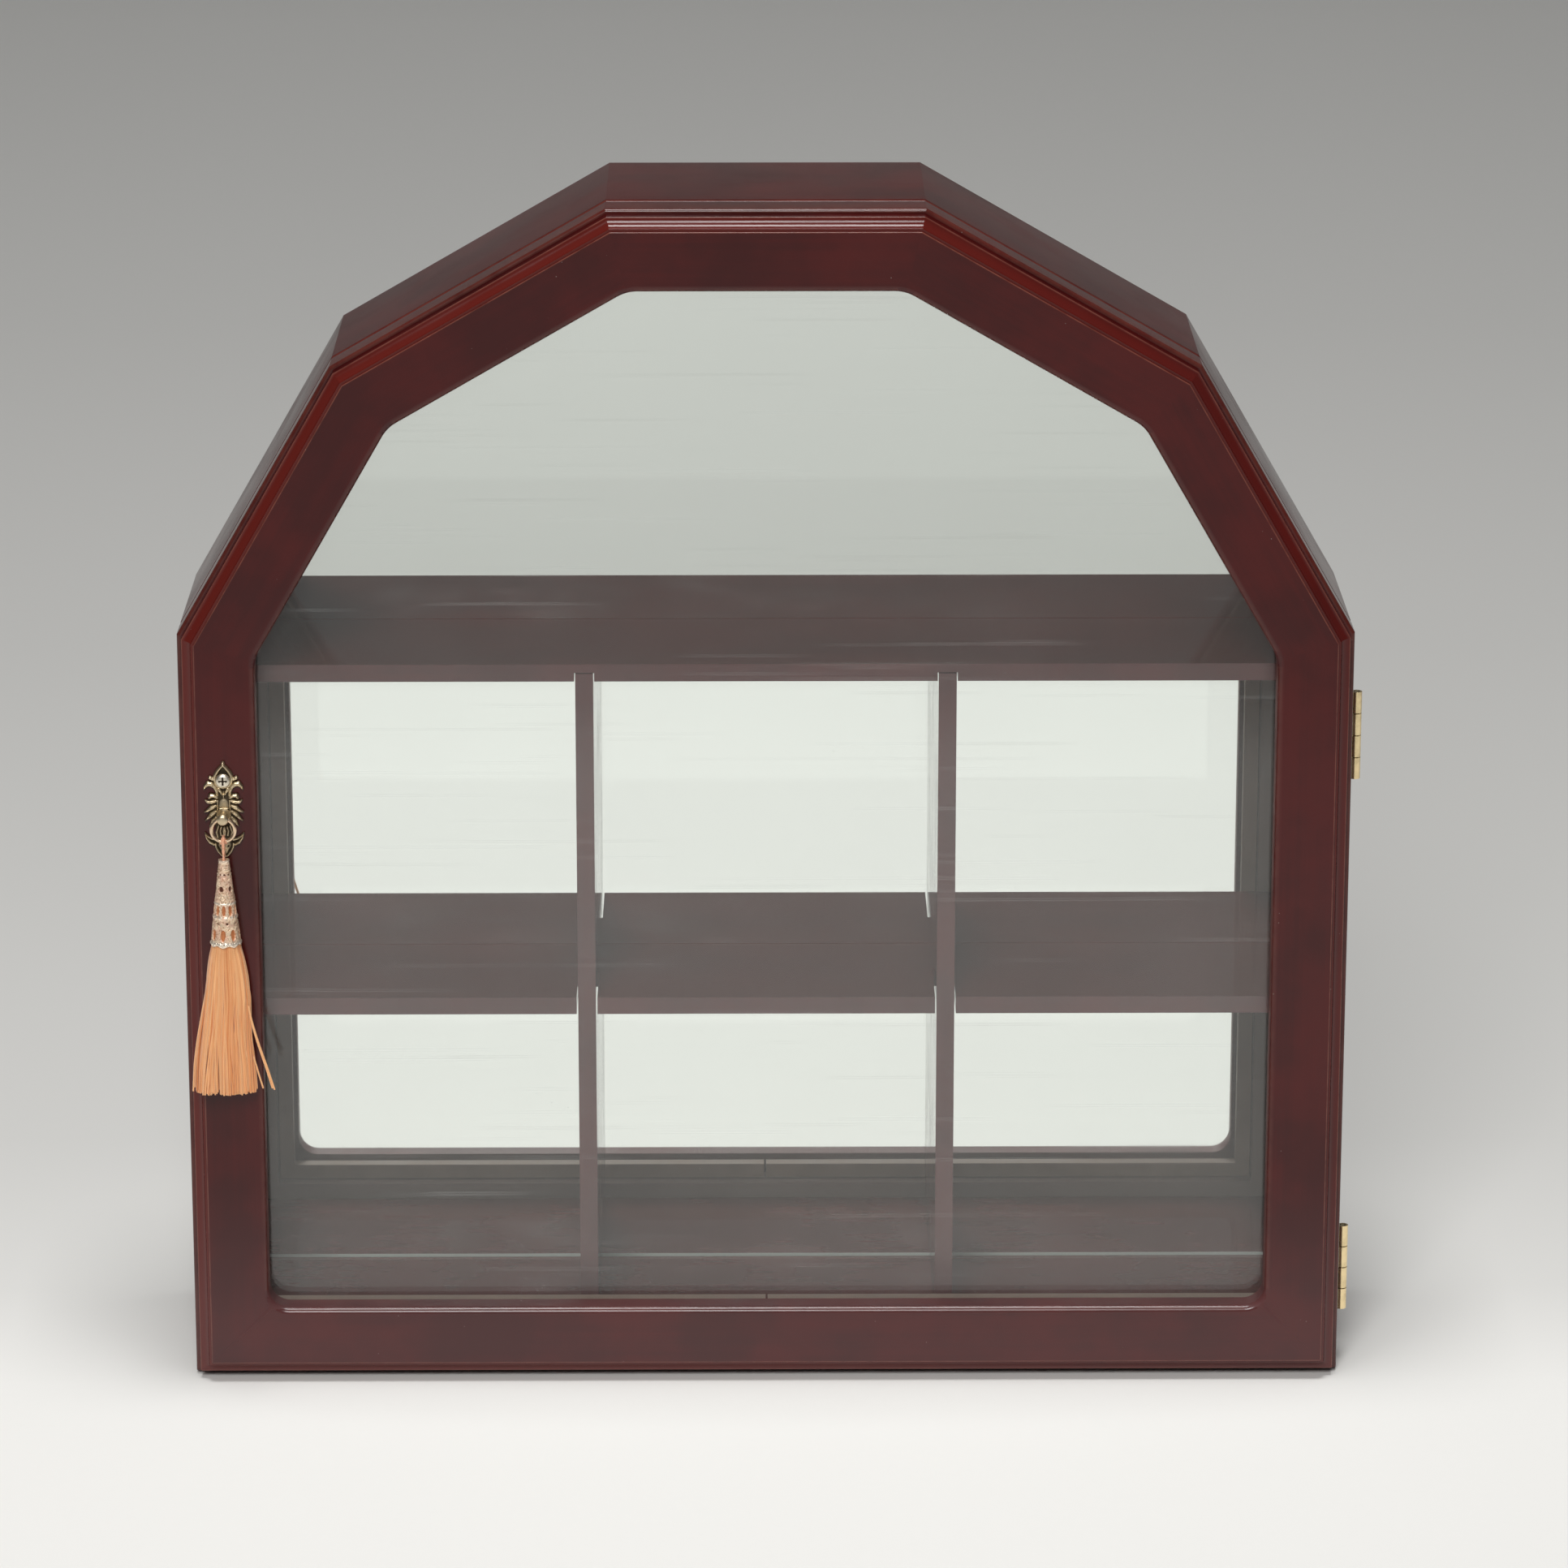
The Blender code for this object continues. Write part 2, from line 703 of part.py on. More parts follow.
def glass_and_retainer():
    """The pane and the strip pressed into the rebate behind it, whose ends meet at the bottom."""
    offset = RAIL_WIDTH - GLASS_REBATE + CLEAR
    edge = outline(offset, DOOR_LIFT)
    middle = DOOR_FRONT + GLASS_SHOULDER + CLEAR + GLASS_THICKNESS / 2
    pane = flat_piece("glass_pane", [edge], middle, GLASS_THICKNESS, clear_glass(), PARTS)
    inside = outline(offset + RETAINER_WIDTH, DOOR_LIFT)
    half = RETAINER_JOINT / 2
    strip = [
        (half, edge[0][1]),
        *edge[1:],
        edge[0],
        (-half, edge[0][1]),
        (-half, inside[0][1]),
        inside[0],
        *reversed(inside[1:]),
        (half, inside[0][1]),
    ]
    behind = middle + GLASS_THICKNESS / 2 + CLEAR + RETAINER_DEPTH / 2
    retainer = flat_piece("glass_retainer", [strip], behind, RETAINER_DEPTH, brown_plastic(), PARTS)
    return [pane, retainer]


def shelf(name, top, boards):
    """A shelf across the case with its ends let into both side boards."""
    reach = HALF_WIDTH - BOARD + SHELF_DADO
    low = (-reach + CLEAR, CASE_FRONT, top - SHELF_THICKNESS)
    high = (reach - CLEAR, MIRROR_SEAT, top)
    dado = box(
        name + "_dado",
        (-reach, CASE_FRONT - CUT_OVERRUN, top - SHELF_THICKNESS - CLEAR),
        (reach, MIRROR_SEAT + CLEAR, top + CLEAR),
    )
    cut(boards["side_board_left"], dado)
    cut(boards["side_board_right"], dado)
    return box(name, low, high, lacquered_wood(), PARTS)


def shelves_and_dividers(boards):
    """Two shelves and two dividers: dadoed above and below, half lapped where they cross."""
    upper = shelf("upper_shelf", UPPER_SHELF_TOP, boards)
    middle = shelf("middle_shelf", MIDDLE_SHELF_TOP, boards)
    underside = UPPER_SHELF_TOP - SHELF_THICKNESS
    lap = CASE_FRONT + LAP_DEPTH
    half = DIVIDER_THICKNESS / 2
    for side, name in ((-1, "divider_left"), (1, "divider_right")):
        x = side * DIVIDER_SPACING / 2
        low = (x - half, CASE_FRONT, BOARD - FLOOR_DADO + CLEAR)
        high = (x + half, MIRROR_SEAT, underside + DIVIDER_DADO - CLEAR)
        divider = box(name, low, high, lacquered_wood(), PARTS)
        groove_low = (x - half - CLEAR, CASE_FRONT - CUT_OVERRUN, BOARD - FLOOR_DADO)
        groove_high = (x + half + CLEAR, MIRROR_SEAT + CLEAR, underside + DIVIDER_DADO)
        groove = box(name + "_dado", groove_low, groove_high)
        cut(boards["bottom_board"], groove)
        cut(upper, groove)
        slot_half = half + LAP_SLACK
        shelf_slot = box(
            name + "_shelf_slot",
            (x - slot_half, CASE_FRONT - CUT_OVERRUN, MIDDLE_SHELF_TOP - SHELF_THICKNESS - CUT_OVERRUN),
            (x + slot_half, lap + CLEAR / 2, MIDDLE_SHELF_TOP + CUT_OVERRUN),
        )
        cut(middle, shelf_slot)
        divider_slot = box(
            name + "_slot",
            (x - half - CUT_OVERRUN, lap - CLEAR / 2, MIDDLE_SHELF_TOP - SHELF_THICKNESS - CLEAR),
            (x + half + CUT_OVERRUN, MIRROR_SEAT + CUT_OVERRUN, MIDDLE_SHELF_TOP + CLEAR),
        )
        cut(divider, divider_slot)


def mirror_and_back(boards):
    """The mirror, the thin back panel behind it and the brads that hold both."""
    mirror_edge = outline(BOARD - MIRROR_REBATE + CLEAR)
    middle = (MIRROR_FACE + MIRROR_REAR) / 2
    flat_piece("mirror", [mirror_edge], middle, MIRROR_THICKNESS, mirror_finish(), PARTS)
    holes = []
    for name, (index, share) in BRAD_SHARES.items():
        start, end, _along, inward = edge_frame(index)
        spot = start.lerp(end, share) + inward * BRAD_SETBACK
        holes.append(circle_points((spot.x, spot.z), BRAD_RADIUS + CLEAR, BRAD_SIDES))
        seat = Vector((spot.x, BACK_REAR + CLEAR, spot.z))
        brad(name, seat, BRAD_HEAD_RADIUS, BRAD_HEAD_DEPTH)
        cut(boards[BOARD_NAMES[index]], brad_hole(name, seat))
    back_edge = outline(BOARD - BACK_REBATE + CLEAR)
    middle = (BACK_FACE + BACK_REAR) / 2
    flat_piece("back_panel", [back_edge, *holes], middle, BACK_THICKNESS, back_board_finish(), PARTS)


def brad(name, seat, head_radius, head_depth):
    """A small nail driven forwards, with the underside of its head at seat."""
    profile = [
        (0, head_depth),
        (head_radius, head_depth),
        (head_radius, 0),
        (BRAD_RADIUS, 0),
        (BRAD_RADIUS, -BRAD_LENGTH),
        (0, -BRAD_LENGTH),
    ]
    return turned(name, profile, axis_place(seat, (0, 1, 0)), BRAD_SIDES, dark_steel(), PARTS)


def brad_hole(name, seat):
    """The hole that a brad fills in a board."""
    end = seat - Vector((0, BRAD_LENGTH + CLEAR, 0))
    start = seat + Vector((0, CUT_OVERRUN, 0))
    return rod(name + "_hole", start, end, BRAD_RADIUS + CLEAR, None, BRAD_SIDES)


def hanger(boards):
    """A sawtooth hanger and its two pins on the rear edge of the top board."""
    top = CASE_HEIGHT - HANGER_TOP_INSET
    foot = top - HANGER_HEIGHT
    half = HANGER_LENGTH / 2
    toothed = half - 2 * HANGER_PIN_INSET
    pitch = 2 * toothed / HANGER_TEETH
    points = [(-half, top), (-half, foot), (-toothed, foot)]
    for k in range(HANGER_TEETH):
        points.append((-toothed + (k + 0.5) * pitch, foot + HANGER_TOOTH))
        points.append((-toothed + (k + 1) * pitch, foot))
    points += [(half, foot), (half, top)]
    pin_z = top - HANGER_PIN_INSET
    pin_x = half - HANGER_PIN_INSET
    rear = CASE_BACK + CLEAR + HANGER_THICKNESS
    holes = []
    for side, name in ((-1, "hanger_pin_left"), (1, "hanger_pin_right")):
        seat = Vector((side * pin_x, rear + CLEAR, pin_z))
        holes.append(circle_points((seat.x, seat.z), BRAD_RADIUS + CLEAR, BRAD_SIDES))
        brad(name, seat, HANGER_PIN_HEAD_RADIUS, HANGER_PIN_HEAD_DEPTH)
        cut(boards["top_board"], brad_hole(name, seat))
    middle = CASE_BACK + CLEAR + HANGER_THICKNESS / 2
    flat_piece("hanger_plate", [points, *holes], middle, HANGER_THICKNESS, bright_brass(), PARTS)


def hinge_leaf(name, height, side, first_knuckle):
    """One leaf with every other knuckle: side +1 lies in the case, -1 in the door."""
    base = height - HINGE_LENGTH / 2
    pitch = (HINGE_LENGTH + CLEAR) / HINGE_KNUCKLES
    near = HINGE_Y + side * DOOR_GAP / 2
    far = near + side * LEAF_THICKNESS
    low_y, high_y = min(near, far), max(near, far)
    inner = HINGE_X - KNUCKLE_RADIUS - CLEAR
    plate = box(
        name, (HINGE_X - LEAF_WIDTH, low_y, base), (inner, high_y, base + HINGE_LENGTH), bright_brass(), PARTS
    )
    bore_start = (HINGE_X, HINGE_Y, base - CUT_OVERRUN)
    bore_end = (HINGE_X, HINGE_Y, base + HINGE_LENGTH + CUT_OVERRUN)
    for k in range(first_knuckle, HINGE_KNUCKLES, 2):
        foot = base + k * pitch
        head = foot + pitch - CLEAR
        tag = name + "_" + str(k)
        join(plate, box(tag + "_arm", (inner - CLEAR, low_y, foot), (HINGE_X, high_y, head)))
        join(plate, rod(tag + "_barrel", (HINGE_X, HINGE_Y, foot), (HINGE_X, HINGE_Y, head), KNUCKLE_RADIUS))
    cut(plate, rod(name + "_bore", bore_start, bore_end, HINGE_BORE))
    return plate


def hinge_mortise(name, face, side, base):
    """The shallow recess that takes a hinge leaf; side +1 sinks it behind a face, -1 before it."""
    near, far = sorted((face - side * CUT_OVERRUN, face + side * (LEAF_THICKNESS + CLEAR)))
    low = (HINGE_X - LEAF_WIDTH - CLEAR, near, base - CLEAR)
    high = (HINGE_X + CUT_OVERRUN, far, base + HINGE_LENGTH + CLEAR)
    return box(name, low, high)


def hinge_side(label, owner, face, side, first_knuckle, height):
    """One leaf let into its owner and held by two screws."""
    leaf = hinge_leaf(label + "_leaf", height, side, first_knuckle)
    cut(owner, hinge_mortise(label + "_mortise", face, side, height - HINGE_LENGTH / 2))
    pieces = [leaf]
    for shift, place in ((-1, "_screw_low"), (1, "_screw_high")):
        z = height + shift * HINGE_SCREW_SPACING / 2
        point = (HINGE_X - LEAF_WIDTH + HINGE_SCREW_SETBACK, face, z)
        pieces.append(countersunk(label + place, point, (0, -side, 0), PARTS))
        cuts = screw_cutters(label + place, point, (0, -side, 0))
        cut(leaf, *cuts)
        cut(owner, *cuts)
    return pieces


def hinges(boards, rails):
    """Both butt hinges; returns the pieces that turn with the door."""
    moving = []
    for place, height in HINGE_HEIGHTS.items():
        label = "hinge_" + place
        foot = (HINGE_X, HINGE_Y, height - HINGE_LENGTH / 2)
        head = (HINGE_X, HINGE_Y, height + HINGE_LENGTH / 2)
        rod(label + "_pin", foot, head, HINGE_PIN_RADIUS, None, SMALL_SIDES, bright_brass(), PARTS)
        hinge_side(label + "_case", boards["side_board_right"], CASE_FRONT, 1, 1, height)
        moving += hinge_side(label + "_door", rails["door_stile_right"], DOOR_BACK, -1, 0, height)
    return moving


def catch(boards, rails):
    """The magnet in the left side board and the strike plate on the door."""
    face = DOOR_BACK + CLEAR
    magnet_end = face + MAGNET_LENGTH
    spot = (CATCH_X, CATCH_HEIGHT)
    rod(
        "catch_magnet",
        (spot[0], face, spot[1]),
        (spot[0], magnet_end, spot[1]),
        MAGNET_RADIUS,
        None,
        ROUND_SIDES,
        black_magnet(),
        PARTS,
    )
    cup_start = (spot[0], CASE_FRONT - CUT_OVERRUN, spot[1])
    cup_end = (spot[0], magnet_end + CLEAR, spot[1])
    cut(boards["side_board_left"], rod("catch_magnet_cup", cup_start, cup_end, MAGNET_RADIUS + CLEAR))
    strike_front = (spot[0], DOOR_BACK - STRIKE_THICKNESS, spot[1])
    strike_back = (spot[0], DOOR_BACK, spot[1])
    strike = rod(
        "catch_strike", strike_front, strike_back, STRIKE_RADIUS, None, ROUND_SIDES, dark_steel(), PARTS
    )
    seat_start = (spot[0], DOOR_BACK + CUT_OVERRUN, spot[1])
    seat_end = (spot[0], DOOR_BACK - STRIKE_THICKNESS - CLEAR, spot[1])
    cut(rails["door_stile_left"], rod("catch_strike_seat", seat_start, seat_end, STRIKE_RADIUS + CLEAR))
    screw = countersunk("catch_strike_screw", strike_back, (0, 1, 0), PARTS)
    cuts = screw_cutters("catch_strike", strike_back, (0, 1, 0))
    cut(strike, *cuts)
    cut(rails["door_stile_left"], *cuts)
    return [strike, screw]


def pull_plate(stile):
    """The pierced back plate of the pull, its screw and the post that the ring hangs in."""
    right = [
        (PULL_X + share[0] * PULL_PLATE_WIDTH / 2, PULL_PLATE_TOP - share[1] * PULL_PLATE_HEIGHT)
        for share in PLATE_OUTLINE_SHARES
    ]
    left = [(2 * PULL_X - x, z) for x, z in reversed(right[1:-1])]
    screw_z = PULL_PLATE_TOP - PULL_SCREW_DROP
    screw_hole = circle_points((PULL_X, screw_z), PULL_SCREW_RADIUS + CLEAR, SMALL_SIDES)
    post_hole = circle_points((PULL_X, RING_TOP), POST_SHANK_RADIUS + CLEAR, SMALL_SIDES)
    low_z = PULL_PLATE_TOP - PIERCING_DROP
    pierced = [
        circle_points((PULL_X + side * PIERCING_SPREAD, low_z), PIERCING_RADIUS, BRAD_SIDES)
        for side in (-1, 1)
    ]
    middle = PLATE_FRONT + PULL_PLATE_THICKNESS / 2
    outlines = [right + left, screw_hole, post_hole, *pierced]
    plate = flat_piece("pull_plate", outlines, middle, PULL_PLATE_THICKNESS, antique_brass(), PARTS)
    seat = PLATE_FRONT - CLEAR
    screw_profile = [
        (0, PULL_SCREW_HEAD_DEPTH),
        (PULL_SCREW_HEAD_RADIUS / 2, PULL_SCREW_HEAD_DEPTH),
        (PULL_SCREW_HEAD_RADIUS, PULL_SCREW_HEAD_DEPTH / 2),
        (PULL_SCREW_HEAD_RADIUS, 0),
        (PULL_SCREW_RADIUS, 0),
        (PULL_SCREW_RADIUS, SCREW_TIP - PULL_SCREW_LENGTH),
        (0, -PULL_SCREW_LENGTH),
    ]
    screw_seat = Vector((PULL_X, seat, screw_z))
    screw = turned(
        "pull_screw", screw_profile, axis_place(screw_seat, (0, -1, 0)), SMALL_SIDES, antique_brass(), PARTS
    )
    pilot_end = screw_seat + Vector((0, PULL_SCREW_LENGTH + CLEAR, 0))
    cut(stile, rod("pull_screw_pilot", screw_seat, pilot_end, PULL_SCREW_RADIUS + CLEAR, None, SMALL_SIDES))
    return [plate, screw, pull_post(stile, seat)]


def pull_post(stile, seat):
    """The eyed post: its shank goes into the stile, its eye lets the ring swing."""
    collar = POST_COLLAR
    tip = seat - RING_Y + POST_EYE_RADIUS + POST_TIP
    profile = [
        (0, tip),
        (POST_RADIUS - POST_TIP_ROUND, tip),
        (POST_RADIUS, tip - POST_TIP_ROUND),
        (POST_RADIUS, collar),
        (POST_COLLAR_RADIUS, collar),
        (POST_COLLAR_RADIUS, 0),
        (POST_SHANK_RADIUS, 0),
        (POST_SHANK_RADIUS, -POST_SHANK),
        (0, -POST_SHANK),
    ]
    foot = Vector((PULL_X, seat, RING_TOP))
    post = turned("pull_post", profile, axis_place(foot, (0, -1, 0)), ROUND_SIDES, antique_brass(), PARTS)
    reach = Vector((POST_RADIUS + CUT_OVERRUN, 0, 0))
    eye = Vector((PULL_X, RING_Y, RING_TOP))
    cut(post, rod("pull_post_eye", eye - reach, eye + reach, POST_EYE_RADIUS))
    hole_end = foot + Vector((0, POST_SHANK + CLEAR, 0))
    cut(stile, rod("pull_post_hole", foot, hole_end, POST_SHANK_RADIUS + CLEAR, None, SMALL_SIDES))
    return post


def ring_torus(name, wire, collection, finish=None):
    """A torus on the pull ring's circle."""
    bpy.ops.mesh.primitive_torus_add(
        major_radius=RING_RADIUS,
        minor_radius=wire,
        major_segments=2 * ROUND_SIDES,
        minor_segments=SMALL_SIDES,
        location=(PULL_X, RING_Y, RING_CENTRE_Z),
        rotation=(math.pi / 2, 0, 0),
    )
    torus = bpy.context.object
    torus.name = name
    for owner in list(torus.users_collection):
        owner.objects.unlink(torus)
    collection.objects.link(torus)
    torus.data.shade_smooth()
    if finish is not None:
        torus.data.materials.append(finish)
    return torus


def hitch():
    """The sleeve of thread round the ring's foot, which slides along the ring."""
    centre = Vector((PULL_X, RING_Y, RING_CENTRE_Z))
    points = []
    for k in range(ROUND_SIDES // 2 + 1):
        angle = -math.pi / 2 + HITCH_HALF_ANGLE * (4 * k / ROUND_SIDES - 1)
        points.append(centre + Vector((math.cos(angle), 0, math.sin(angle))) * RING_RADIUS)
    sleeve = as_mesh(tube("tassel_hitch", points, HITCH_RADIUS, apricot_silk(), PARTS))
    bore = as_cutter(ring_torus("tassel_hitch_bore", HITCH_BORE, CUTTERS))
    return cut(sleeve, bore)


def thread_loop():
    """The closed loop of thread that hangs on the hitch and ends inside the cap."""
    foot_z = CAP_TOP - LOOP_INSERT + LOOP_FOOT
    points = []
    for k in range(SMALL_SIDES + 1):
        angle = math.pi * k / SMALL_SIDES
        y = RING_Y + LOOP_RADIUS * math.cos(angle)
        z = RING_FOOT_Z + LOOP_RADIUS * math.sin(angle)
        points.append((PULL_X, y, z))
    for k in range(BRAD_SIDES // 2 + 1):
        angle = math.pi + math.pi * k * 2 / BRAD_SIDES
        points.append((PULL_X, RING_Y + LOOP_FOOT * math.cos(angle), foot_z + LOOP_FOOT * math.sin(angle)))
    return tube("tassel_loop", points, THREAD_RADIUS, apricot_silk(), PARTS, cyclic=True)


def tassel_cap():
    """The hollow cone over the tassel's head."""
    bore_foot = CAP_HEIGHT - CAP_BORE_DEPTH
    slope = (CAP_HEM_RADIUS - CAP_TOP_RADIUS) / CAP_HEIGHT
    inner_top = CAP_TOP_RADIUS + slope * CAP_BORE_DEPTH - CAP_WALL / 2
    profile = [
        (CAP_TOP_RADIUS, CAP_HEIGHT),
        (CAP_HEM_RADIUS, 0),
        (CAP_HEM_RADIUS - CAP_WALL, 0),
        (inner_top, bore_foot - CAP_WALL),
        (CAP_BORE_RADIUS, bore_foot),
        (CAP_BORE_RADIUS, CAP_HEIGHT),
    ]
    place = Matrix.Translation((PULL_X, RING_Y, CAP_FOOT))
    return turned("tassel_cap", profile, place, ROUND_SIDES, rose_gold(), PARTS, closed=True)


def skirt_ring(bm, z, half_width, half_depth, fluted):
    """One fluted oval section of the skirt."""
    ring = []
    sides = 2 * SKIRT_FLUTES
    for k in range(sides):
        angle = 2 * math.pi * k / sides
        swell = 1 - (FLUTE_SHARE if k % 2 and fluted else 0)
        x = PULL_X + half_width * swell * math.cos(angle)
        y = RING_Y + half_depth * swell * math.sin(angle)
        ring.append(bm.verts.new((x, y, z)))
    return ring


def tassel_skirt():
    """The skirt of strands: a fluted loft whose head plugs the cap."""
    bm = bmesh.new()
    plug_top = CAP_FOOT + SKIRT_PLUG
    slope = (CAP_HEM_RADIUS - CAP_TOP_RADIUS) / CAP_HEIGHT
    hem_inner = CAP_HEM_RADIUS - CAP_WALL - CLEAR
    plug_radius = hem_inner - slope * SKIRT_PLUG - CLEAR
    rings = [
        skirt_ring(bm, plug_top, plug_radius, plug_radius, False),
        skirt_ring(bm, CAP_FOOT - CLEAR, hem_inner, hem_inner, False),
    ]
    for fall, wide, deep in SKIRT_SHARES:
        level = CAP_FOOT - SKIRT_LENGTH * fall
        rings.append(skirt_ring(bm, level, wide * SKIRT_WIDTH / 2, deep * SKIRT_DEPTH / 2, True))
    for above, below in zip(rings, rings[1:]):
        for k, vert in enumerate(above):
            after = (k + 1) % len(above)
            bm.faces.new((vert, above[after], below[after], below[k]))
    bm.faces.new(rings[0])
    bm.faces.new(rings[-1])
    return mesh_object(bm, "tassel_skirt", apricot_silk(), PARTS, smooth=True)


def pivot(name, point, parent=None):
    """An empty on a joint's axis; a list of pieces or another pivot can follow it."""
    empty = bpy.data.objects.new(name, None)
    empty.empty_display_size = HINGE_LENGTH / 2
    PARTS.objects.link(empty)
    empty.parent = parent
    above = Vector((0, 0, 0)) if parent is None else Vector(parent["axis_point"])
    empty.location = Vector(point) - above
    empty["axis_point"] = tuple(point)
    return empty


def follow(empty, pieces):
    """Parents pieces to a pivot and leaves them where they are."""
    for piece in pieces:
        piece.parent = empty
        piece.matrix_parent_inverse = Matrix.Translation(-Vector(empty["axis_point"]))


def build():
    """The whole cabinet."""
    boards = case_boards()
    shelves_and_dividers(boards)
    mirror_and_back(boards)
    hanger(boards)
    rails = door_rails()
    door = list(rails.values()) + glass_and_retainer()
    door += hinges(boards, rails)
    door += catch(boards, rails)
    door += pull_plate(rails["door_stile_left"])
    ring = ring_torus("pull_ring", RING_WIRE, PARTS, antique_brass())
    sleeve = hitch()
    tassel = [thread_loop(), tassel_cap(), tassel_skirt()]
    door_pivot = pivot("door_pivot", (HINGE_X, HINGE_Y, UPPER_HINGE_HEIGHT))
    ring_pivot = pivot("ring_pivot", (PULL_X, RING_Y, RING_TOP), door_pivot)
    hitch_pivot = pivot("hitch_pivot", (PULL_X, RING_Y, RING_CENTRE_Z), ring_pivot)
    tassel_pivot = pivot("tassel_pivot", (PULL_X, RING_Y, RING_FOOT_Z), hitch_pivot)
    follow(door_pivot, door)
    follow(ring_pivot, [ring])
    follow(hitch_pivot, [sleeve])
    follow(tassel_pivot, tassel)


clear_scene()
PARTS = new_collection("curio_cabinet")
CUTTERS = new_collection("cutters")
build()
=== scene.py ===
"""Looks of a curio cabinet: a case with an arched, glazed door, a ring pull and a silk tassel."""

import math
from collections import Counter

import bmesh
import bpy
import numpy as np
from mathutils import Matrix, Vector


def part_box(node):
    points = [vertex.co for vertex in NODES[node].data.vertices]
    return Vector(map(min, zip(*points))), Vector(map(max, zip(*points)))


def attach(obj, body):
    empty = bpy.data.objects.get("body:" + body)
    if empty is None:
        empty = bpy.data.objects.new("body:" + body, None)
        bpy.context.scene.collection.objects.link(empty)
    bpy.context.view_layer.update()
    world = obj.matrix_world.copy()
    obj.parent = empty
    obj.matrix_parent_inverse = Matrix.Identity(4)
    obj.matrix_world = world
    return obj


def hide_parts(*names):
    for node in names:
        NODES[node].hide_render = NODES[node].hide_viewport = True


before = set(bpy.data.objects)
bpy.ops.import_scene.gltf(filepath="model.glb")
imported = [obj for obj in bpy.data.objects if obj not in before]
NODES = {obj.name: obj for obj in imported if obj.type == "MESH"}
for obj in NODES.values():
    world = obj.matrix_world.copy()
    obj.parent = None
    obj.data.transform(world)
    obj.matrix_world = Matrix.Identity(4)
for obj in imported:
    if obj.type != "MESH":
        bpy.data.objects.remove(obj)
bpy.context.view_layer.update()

bl_info = {
    "name": "Curio Cabinet",
    "version": (1, 0, 0),
    "blender": (4, 5, 0),
    "location": "View3D > Sidebar > Cabinet",
    "description": "Builds the looks of a curio cabinet round its packed parts",
    "category": "Object",
}

X, Y, Z = range(3)
LOW, HIGH = range(2)
MM = 0.001

# The front's outline has a corner at each end of its foot and six round its half of a twelve-sided arch
EDGES = 8
ARCH_FACETS = 12
CORNER_HALF_STEPS = 6

# Bends, in degrees, above which an edge stays sharp: on the solids of the frame and on the mouldings
SHARP_BEND = 40
MOULDING_BEND = 32

# The solids' faces are welded over this gap, and the cap's hem ends this high above its solid cone's foot
WELD_GAP = 0.002 * MM
CAP_LIFT = 1.4 * MM

# The mitred lengths of the door and of the case, from the foot round by the right
RAIL_NODES = (
    "door_rail_bottom", "door_stile_right", "door_rail_lower_right", "door_rail_upper_right",
    "door_rail_top", "door_rail_upper_left", "door_rail_lower_left", "door_stile_left",
)
BOARD_NODES = (
    "bottom_board", "side_board_right", "lower_slope_board_right", "upper_slope_board_right",
    "top_board", "upper_slope_board_left", "lower_slope_board_left", "side_board_left",
)

